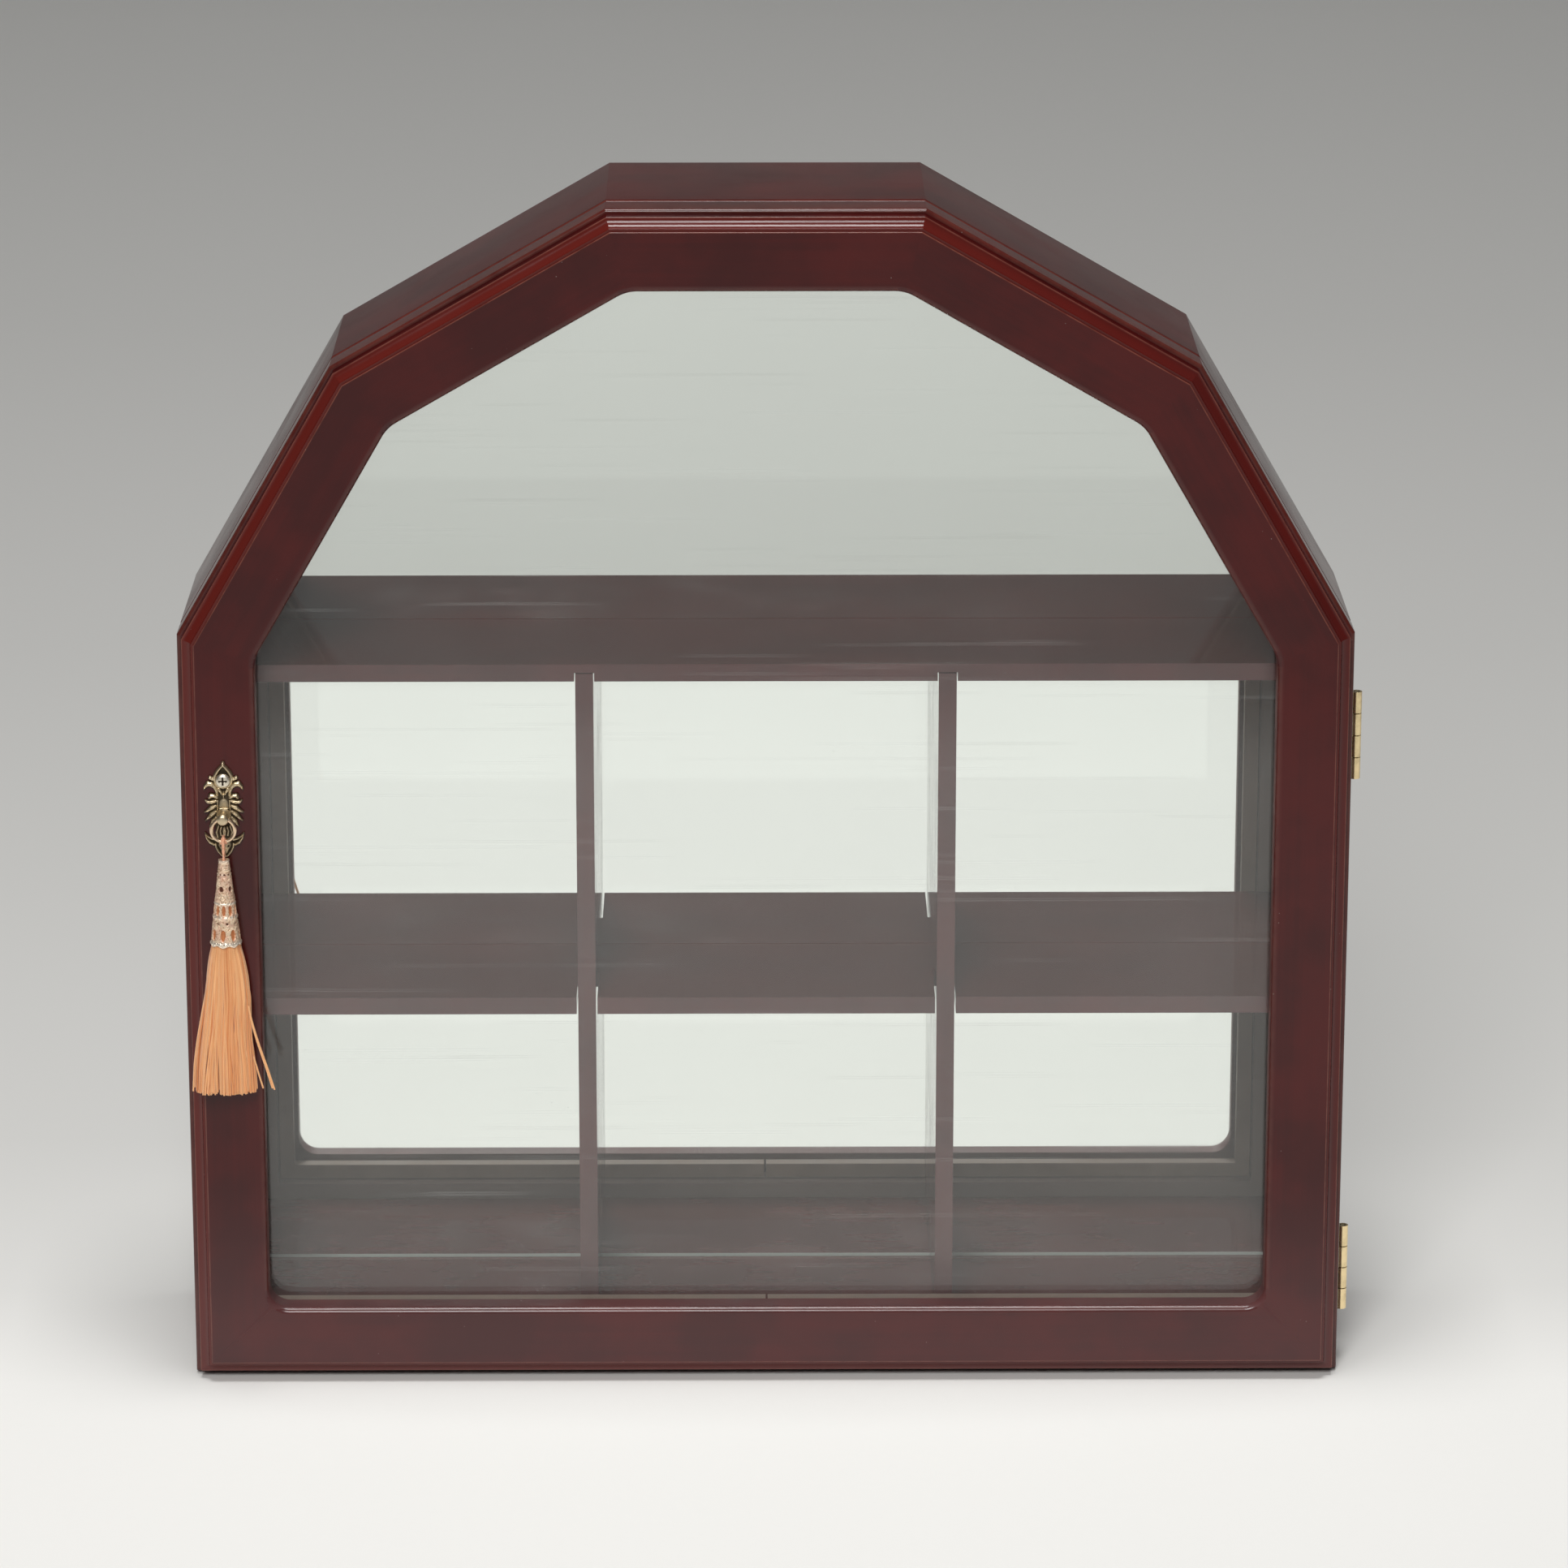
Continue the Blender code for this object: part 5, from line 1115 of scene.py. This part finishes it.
class CURIO_OT_pull(Maker, bpy.types.Operator):
    """Build the cast back plate, its screw, the knob and the ring"""

    bl_idname = "curio.pull"
    bl_label = "Ring pull"

    def execute(self, context):
        self.plate()
        self.screw()
        self.knob()
        self.ring()
        return {"FINISHED"}

    def plate(self):
        """The plate's leafy outline and relief."""
        middle_x, top, back = middle("pull_plate", X), far("pull_plate", Z), far("pull_plate", Y)
        half_wide = half("pull_plate", X) / MM
        tall = (top - near("pull_plate", Z)) / MM
        step = 0.11
        across = np.arange(-half_wide, half_wide + step, step)
        down = np.arange(-step, tall + step, step)
        places = np.array([(a, d) for d in down for a in across])
        cover = plate_cover(places).reshape(len(down), len(across))
        flat, faces = cut_sheet(across, down, cover)
        relief = plate_relief(flat)
        edge, rim, ridge_height, rim_width, hollow = 0.22, 0.1, 0.95, 0.12, 0.42
        thick = edge + rim * np.clip(plate_cover(flat) / rim_width, 0.0, 1.0) + ridge_height * relief
        front = [(middle_x + a * MM, back - t * MM, top - d * MM) for (a, d), t in zip(flat, thick)]
        rear = [(middle_x + a * MM, back, top - d * MM) for a, d in flat]
        piece = new_piece(
            "pull_backplate", front + rear, closed_slab(faces, len(flat)), metal("antique_brass"),
            "door", ["pull_plate"], 50,
        )
        pit = np.clip(1.1 - relief / hollow, 0.0, 1.0) * 0.92
        store(piece, "pit", np.concatenate([pit, np.zeros(len(flat))]))

    def screw(self):
        """The plate's round-headed cross-slotted screw."""
        x, z = middle("pull_screw", X), middle("pull_screw", Z)
        seat, tip = near("pull_screw", Y), far("pull_screw", Y)
        radius = half("pull_screw", X)
        rise, rim, shank = 0.9 * MM, 1.1 * MM, 0.9 * MM
        slot_half, slot_reach, slot_depth = 0.24 * MM, 1.2 * MM, 0.6 * MM
        rings, sides = 22, 48
        points, pits = [], []
        for i in range(rings):
            r = radius * i / (rings - 1)
            dome = rise * max(0.0, 1 - (r / radius) ** 4) ** 0.5
            for px, y, pz in turned(0.0, 0.0, [(r, seat + rise - dome)], sides):
                slot = min(abs(px), abs(pz)) / slot_half
                depth = max(0.0, 1 - slot**4) * (r < slot_reach) * slot_depth
                points.append((x + px, y + depth, z + pz))
                pits.append(min(1.0, depth / (0.5 * MM)))
        points += turned(x, z, [(radius, seat + rim), (shank, seat + rim), (shank, tip)], sides)
        pits += [0.0] * (3 * sides)
        faces = [f for f in grid_faces(rings + 3, sides, closed=True) if f[0] >= sides]
        faces += [range(sides, 2 * sides), range(len(points) - sides, len(points))]
        piece = new_piece(
            "pull_cross_screw", points, faces, metal("screw_brass"),
            "door", ["pull_screw"], 40,
        )
        store(piece, "pit", pits)

    def knob(self):
        """The turned knob and the eye through it that the ring hangs in."""
        x, z = middle("pull_post", X), middle("pull_post", Z)
        tip, rear = near("pull_post", Y), far("pull_post", Y)
        seat = near("pull_plate", Y)
        neck, collar, shank = 1.75 * MM, 2.1 * MM, MM
        sunk = seat + 0.1 * MM
        profile = [(radius * MM, tip + setback * MM) for radius, setback in KNOB_OUTLINE]
        profile += [(neck, seat - 1.0 * MM), (collar - 0.15 * MM, seat - 0.7 * MM)]
        profile += [(collar, seat - 0.45 * MM), (collar, sunk), (shank, sunk), (shank, rear)]
        sides = 56
        points = turned(x, z, profile, sides)
        faces = grid_faces(len(profile), sides, closed=True)
        faces += [range(sides), range(len(points) - sides, len(points))]
        piece = new_piece(
            "pull_knob", points, faces, metal("antique_brass"), "door", ["pull_post"], 40
        )
        eye_wide, eye_narrow = 1.35 * MM, 1.05 * MM
        bpy.ops.mesh.primitive_cone_add(
            vertices=40, radius1=eye_wide, radius2=eye_narrow, depth=6.0 * MM,
            location=(x, middle("pull_ring", Y), z), rotation=(0.0, math.pi / 2, 0.0),
        )
        subtract(piece, bpy.context.object)
        soften(piece.data, 40)
        store(piece, "pit", np.zeros(len(piece.data.vertices)))

    def ring(self):
        """The ring, one round wire."""
        turns, sides = 96, 20
        wire = sizes().ring_wire
        points = [
            beside_ring(2 * math.pi * i / turns, 2 * math.pi * k / sides, wire)
            for i in range(turns)
            for k in range(sides)
        ]
        faces = grid_faces(turns, sides, closed=True, looped=True)
        piece = new_piece(
            "pull_bail_ring", points, faces, metal("ring_brass"), "ring", ["pull_ring"], 60
        )
        store(piece, "pit", np.zeros(len(points)))


def ring_radius():
    """Radius of the line through the middle of the ring's wire."""
    return half("pull_ring", Z) - sizes().ring_wire


def beside_ring(angle, phase, reach):
    """A point at a distance from the middle of the ring's wire; phase is its angle round the wire."""
    centre = Vector([middle("pull_ring", axis) for axis in range(3)])
    spoke = Vector((math.cos(angle), 0, math.sin(angle)))
    out = spoke * math.cos(phase) + Vector((0, 1, 0)) * math.sin(phase)
    return centre + spoke * ring_radius() + out * reach


def yarn_tube(path, radius, sides, tone, twist, strength, phase=0.0):
    """Points, faces, tones and ply values of one twisted strand along a path."""
    path = np.array(path)
    steps = np.gradient(path, axis=0)
    steps /= np.linalg.norm(steps, axis=1)[:, None]
    side = np.cross(steps, (0.0, 1.0, 0.02))
    side /= np.linalg.norm(side, axis=1)[:, None]
    other = np.cross(steps, side)
    points, ply = [], []
    for centre, a, b, along in zip(path, side, other, lengths_along(path)):
        for k in range(sides):
            angle = 2 * math.pi * k / sides
            points.append(centre + (a * math.cos(angle) + b * math.sin(angle)) * radius)
            ply.append((k / sides + along / twist + phase, along, strength))
    faces = grid_faces(len(path), sides, closed=True)
    faces += [range(sides)[::-1], range(len(points) - sides, len(points))]
    return points, faces, [tone] * len(points), ply


def yarn_piece(name, tubes, tint, body, node):
    """Joins strands into one piece."""
    points, faces, tones, plies = [], [], [], []
    for tube_points, tube_faces, tone, ply in tubes:
        base = len(points)
        points += tube_points
        faces += [tuple(base + k for k in face) for face in tube_faces]
        tones += tone
        plies += ply
    piece = new_piece(name, points, faces, apricot_silk(tint), body, [node], 70)
    store(piece, "tone", tones)
    store(piece, "ply", plies, "FLOAT_VECTOR")


class CURIO_OT_tassel(Maker, bpy.types.Operator):
    """Build the tassel: its threads, filigree cap and silk strands"""

    bl_idname = "curio.tassel"
    bl_label = "Tassel"

    def execute(self, context):
        self.chance = np.random.default_rng(seed=11)
        self.hitch()
        self.loop()
        self.cap()
        self.skirt()
        return {"FINISHED"}

    def hitch(self):
        """Thread wound tight round the ring's foot."""
        thread, clearance = 0.2 * MM, 0.03 * MM
        outer = sizes().ring_wire + clearance + thread
        turns, sides = 4, 20
        half_angle = turns * thread / ring_radius()
        path = []
        for step in range(turns * sides + 1):
            angle = -math.pi / 2 + half_angle * (2 * step / (turns * sides) - 1)
            path.append(beside_ring(angle, 2 * math.pi * step / sides, outer))
        tube = yarn_tube(path, thread, 8, tone=0.6, twist=1.1 * MM, strength=0.5)
        yarn_piece("tassel_ring_wrap", [tube], "thread", "hitch", "tassel_hitch")

    def loop(self):
        """The two legs of thread from the ring down into the cap: two strands laid round each other."""
        x, y = middle("tassel_loop", X), middle("tassel_loop", Y)
        low, high = near("tassel_loop", Z), far("tassel_loop", Z)
        thread, pinch = 0.35 * MM, 0.6 * MM
        wide = half("tassel_loop", Y) - thread
        over = arc((y, high - thread - wide), wide, 0.0, math.pi, 12)
        under = arc((y, low + thread + pinch), pinch, math.pi, 2 * math.pi, 4)
        path = np.array(catmull([(x, *place) for place in over + under], 5))
        run = lengths_along(path)
        lay, apart, strand = 4.5 * MM, 0.24 * MM, 0.25 * MM
        phase = 2 * math.pi * round(run[-1] / lay) * run / run[-1]
        tubes = []
        for turn in (phase, phase + math.pi):
            shift = np.column_stack((np.cos(turn), 0.4 * np.sin(turn), 0 * turn))
            tubes.append(yarn_tube(path + apart * shift, strand, 8, tone=0.6, twist=1.2 * MM, strength=0.35))
        yarn_piece("tassel_neck_thread", tubes, "thread", "tassel", "tassel_loop")

    def cap(self):
        """The cap's cone: bands, beads and sunken openings in rows round it, and a scalloped hem; the
        openings aren't cut through, so their holes are painted dark as shade and their slots show silk
        painted in shade.
        """
        x, y = middle("tassel_cap", X), middle("tassel_cap", Y)
        foot, top = near("tassel_cap", Z) + CAP_LIFT, far("tassel_cap", Z)
        relief_height, widest = 0.22 * MM, 0.4 * MM
        hem, crown = half("tassel_cap", X) - 0.2 * MM, 1.5 * MM
        wall, hollow, scallop_height = 0.75 * MM, 0.9 * MM, 0.55 * MM
        tall = top - foot
        rows, sides = 210, 160
        drop = np.linspace(0.0, 1.0, rows)[:, None]
        turn = 2 * math.pi * np.arange(sides)[None, :] / sides
        base = crown + (hem - crown) * drop + 0 * turn
        ripple = 0.5 + 0.5 * np.cos(13 * turn + 9 * drop * math.pi)

        def spots(count, first, level, half_tall, half_wide, taper=0.0):
            """Soft spots in a row round the cone, the first one so many degrees right of the front."""
            pitch = 2 * math.pi / count
            shift = np.mod(turn + math.pi / 2 - math.radians(first) + pitch / 2, pitch) - pitch / 2
            down = (drop - level) * tall / (half_tall * MM)
            wide = half_wide * MM * (1 - taper * down)
            return np.clip(1 - (shift * base / wide) ** 2 - down**2, 0.0, 1.0)

        def band(level, half_width):
            return np.exp(-(((drop - level) / half_width) ** 2)) + 0 * turn

        relief = sum((rise + more * ripple) * band(level, reach) for rise, more, level, reach in CAP_BANDS)
        relief = relief + sum(rise * spots(*row) for rise, *row in CAP_BEADS)
        openings = {}
        for kind, (cut, *row) in CAP_OPENINGS.items():
            opening = openings[kind] = spots(*row)
            lip = np.clip(opening * 5.0, 0.0, 1.0) * np.clip(1 - opening * 4.0, 0.0, 1.0)
            relief += 0.5 * lip - cut * np.clip((opening - 0.12) * 4.0, 0.0, 1.0)
        shell = np.minimum(base + relief * relief_height, hem + widest)
        _, scallops, first, *_ = CAP_OPENINGS["slots"]
        scallop = 0.5 - 0.5 * np.cos(scallops * (turn + math.pi / 2 - math.radians(first)))
        scallop = scallop_height * scallop * np.clip((drop - 0.93) / 0.07, 0.0, 1.0)
        outside = self.around(x, y, top, tall, shell, scallop)
        inside = self.around(x, y, top, tall, np.maximum(base - wall, hollow), scallop)
        faces = closed_slab(grid_faces(rows, sides, closed=True), rows * sides)
        piece = new_piece(
            "tassel_filigree_cap", outside + inside, faces, filigree(),
            "tassel", ["tassel_cap"], 60,
        )
        # Holes that are painted dark as shade
        dark = np.maximum(openings["round holes"], openings["eyelets"])
        dark = np.maximum(dark, 0.8 * openings["notches"])
        shown = np.maximum(openings["ovals"], openings["slots"])
        # Places that get painted highlights: the pearls and the bands of CAP_PAINTED_GLINTS
        painted_glint = spots(*CAP_PEARLS[1:])
        for amount, ripples, level, reach in CAP_PAINTED_GLINTS:
            painted_glint = painted_glint + amount * band(level, reach) * (ripple if ripples else 1.0)
        none = np.zeros(rows * sides)
        for name, amount in (("hole", (dark - 0.1) * 4.0), ("slot", (shown - 0.1) * 5.0), ("painted_glint", painted_glint)):
            store(piece, name, np.concatenate([np.clip(amount, 0.0, 1.0).ravel(), none]))

    def around(self, x, y, top, tall, radii, lift):
        """Points of a shape turned about an upright line, row by row, from its radii."""
        rows, sides = radii.shape
        points = []
        for i in range(rows):
            for k in range(sides):
                angle = 2 * math.pi * k / sides
                r, z = radii[i, k], top - tall * i / (rows - 1) + lift[i, k]
                points.append((x + r * math.cos(angle), y + r * math.sin(angle), z))
        return points

    def skirt(self):
        """Loose strands that fall from under the cap's hem, and three that stray from them at the right."""
        tubes = [self.strand(number) for number in range(sizes().strands)]
        tubes += [self.stray(*shares) for shares in STRAYS]
        yarn_piece("tassel_strands", tubes, "silk", "tassel", "tassel_skirt")

    def strand(self, number):
        """One strand, mostly a smooth one; a few on the outside at the front are tightly twisted."""
        chance, size = self.chance, sizes()
        x, y = middle("tassel_skirt", X), middle("tassel_skirt", Y)
        half_wide, half_deep = half("tassel_skirt", X) * 0.97, half("tassel_skirt", Y) * 0.93
        hem, foot = near("tassel_cap", Z) + CAP_LIFT, near("tassel_skirt", Z)
        golden, hidden, shortest = 0.61803, 2.2 * MM, 0.2 * MM
        angle = 2 * math.pi * (number * golden % 1.0)
        layer = (0, 0, 1, 0, 2)[number % 5]
        out, thickness = SKIRT_LAYERS[layer]
        out = out * (1 - 0.05 * chance.random())
        end = shortest + abs(chance.normal(0.0, 0.8)) * MM
        lean_x, bend_x, lean_y, wave_x, wave_start = chance.normal(0.0, 0.5, 5) * MM
        tone = float(np.clip(chance.normal(0.5, 0.24) + 0.12 * math.sin(5 * angle), 0.0, 1.0))
        twisted = layer == 0 and math.sin(angle) < -0.2 and chance.random() < 0.16
        tuft = 0.11 * math.sin(3 * angle) + 0.07 * math.sin(7 * angle + 1.0)
        path = []
        steps = 24
        for k in range(steps):
            z = hem + hidden - (hem + hidden - foot - end) * k / (steps - 1)
            fall = max(0.0, (hem - z) / (hem - foot))
            wide, deep, lean = skirt_shape(fall)
            sway = lean_x * math.sin(2.2 * fall + bend_x * 3000) * fall
            sway += wave_x * 0.5 * math.sin(6.0 * fall + wave_start * 3000) * min(1.0, 3 * fall)
            across = half_wide * out * wide * math.cos(angle + tuft * fall)
            back = half_deep * out * deep * math.sin(angle)
            path.append((x + across + sway + lean, y + back + lean_y * 0.3 * fall, z))
        radius = size.yarn * thickness * (0.85 + 0.3 * chance.random())
        strength = 1.0 if twisted else 0.1 * chance.random()
        twist = size.yarn_twist * (0.9 + 0.3 * chance.random())
        phase = chance.random()
        return yarn_tube(path, radius, 6, 1.0 if twisted else tone, twist, strength, phase)

    def stray(self, start, end, reach):
        """One loose end."""
        x, y = middle("tassel_skirt", X), middle("tassel_skirt", Y)
        half_wide, half_deep = half("tassel_skirt", X), half("tassel_skirt", Y)
        hem, foot = near("tassel_cap", Z) + CAP_LIFT, near("tassel_skirt", Z)
        path = []
        for share in np.linspace(0.0, 1.0, 18):
            fall = start + (end - start) * share
            out = half_wide * skirt_shape(fall)[0] * 0.9 + reach * MM * share**1.2
            path.append((x + out, y - half_deep * 0.5, hem - fall * (hem - foot)))
        return yarn_tube(path, sizes().yarn * 1.1, 6, tone=0.9, twist=sizes().yarn_twist, strength=0.3)


def skirt_shape(fall):
    """Shares of the skirt's half width and half depth, and its lean, at a share of its drop."""
    falls, *columns = zip(*SKIRT_SHARES)
    wide, deep, lean = (np.interp(fall, falls, column) for column in columns)
    return wide, deep, lean * MM


def catmull(path, steps):
    """A smooth closed path through points, which ends where it starts."""
    knots = [np.array(knot, dtype=float) for knot in path]
    smooth = []
    for k in range(len(knots)):
        a, b, c, d = (knots[(k + ahead) % len(knots)] for ahead in (-1, 0, 1, 2))
        for t in (step / steps for step in range(steps)):
            bend = (2 * a - 5 * b + 4 * c - d) * t**2 + (3 * b - a - 3 * c + d) * t**3
            smooth.append(0.5 * (2 * b + (c - a) * t + bend))
    smooth.append(smooth[0])
    return smooth


class CURIO_OT_stage(Maker, bpy.types.Operator):
    """Build the floor, the backdrop, the lights and the camera"""

    bl_idname = "curio.stage"
    bl_label = "Stage"

    def execute(self, context):
        self.sweep()
        self.lights()
        self.camera()
        return {"FINISHED"}

    def sweep(self):
        """A long pale paper floor, duller far from the light, that curves up at its back."""
        shade = colours()
        finish = Finish("pale_paper")
        grain = finish.noise(finish.position(), 300.0, 2.0)
        ground = finish.mix(finish.attribute("shade"), shade.paper_dim, shade.paper)
        ground = finish.mix(grain * 0.03, ground, shade.paper_fibre)
        paper = finish.done(finish.surface(base_color=ground, roughness=0.85, specular_ior_level=0.2))
        side, back, top, curve = 5.0, 4.0, 4.0, 0.8
        curve_tone, top_tone = 0.48, 0.45
        line = [(y, 0.0, tone) for y, tone in PAPER_RUN]
        bend = arc((back - curve, curve), curve, -math.pi / 2, 0.0, 12)
        line += [(y, z, curve_tone) for y, z in bend] + [(back, top, top_tone)]
        points = [(x, y, z) for y, z, _ in line for x in (-side, side)]
        mesh = bpy.data.meshes.new("paper_sweep")
        mesh.from_pydata(points, [], grid_faces(len(line), 2))
        sweep = placed("paper_sweep", mesh)
        mesh.materials.append(paper)
        mesh.shade_smooth()
        store(sweep, "shade", [tone for *_, tone in line for _ in range(2)])

    def lights(self):
        """Two square lamps and a little light from all round."""
        for name, place, aim, side, power in LAMPS:
            lamp = bpy.data.lights.new(name, "AREA")
            lamp.shape, lamp.size, lamp.energy = "SQUARE", side, power
            fixture = placed(name, lamp)
            fixture.location = place
            fixture.rotation_euler = (Vector(aim) - Vector(place)).to_track_quat("-Z", "Y").to_euler()
        world = bpy.data.worlds.new("studio")
        bpy.context.scene.world = world
        world.use_nodes = True
        background = world.node_tree.nodes["Background"]
        background.inputs["Color"].default_value = (0.80, 0.82, 0.85, 1.0)
        background.inputs["Strength"].default_value = 0.10

    def camera(self):
        """The view: a little above the cabinet, in front of it and a hair to the left."""
        lens = bpy.data.cameras.new("view")
        lens.lens, lens.sensor_width = 146.43, 36.0
        viewer = placed("view", lens)
        looking_down, turned_right = 16.34, 0.393
        viewer.location = (-0.0071, -1.8345, 0.7102)
        viewer.rotation_euler = (math.radians(90 - looking_down), 0.0, math.radians(-turned_right))
        bpy.context.scene.camera = viewer
        bpy.context.scene.view_settings.view_transform = "Standard"


class CURIO_PT_panel(bpy.types.Panel):
    """Lists the cabinet's sizes, colours and operators"""

    bl_idname = "CURIO_PT_panel"
    bl_label = "Curio cabinet"
    bl_space_type = "VIEW_3D"
    bl_region_type = "UI"
    bl_category = "Cabinet"

    def draw(self, context):
        for group in (sizes(), colours()):
            box = self.layout.box()
            for name in group.bl_rna.properties.keys():
                if name not in ("rna_type", "name"):
                    box.prop(group, name)
        for operator in OPERATORS:
            self.layout.operator(operator.bl_idname)


OPERATORS = (
    CURIO_OT_case,
    CURIO_OT_door,
    CURIO_OT_glazing,
    CURIO_OT_hardware,
    CURIO_OT_pull,
    CURIO_OT_tassel,
    CURIO_OT_stage,
)
CLASSES = (CabinetSizes, CabinetColours, *OPERATORS, CURIO_PT_panel)


def register():
    for item in CLASSES:
        bpy.utils.register_class(item)
    bpy.types.Scene.cabinet_sizes = bpy.props.PointerProperty(type=CabinetSizes)
    bpy.types.Scene.cabinet_colours = bpy.props.PointerProperty(type=CabinetColours)


def unregister():
    del bpy.types.Scene.cabinet_colours
    del bpy.types.Scene.cabinet_sizes
    for item in reversed(CLASSES):
        bpy.utils.unregister_class(item)


def main():
    register()
    for operator in OPERATORS:
        getattr(bpy.ops.curio, operator.bl_idname.removeprefix("curio."))()


if __name__ == "__main__":
    main()
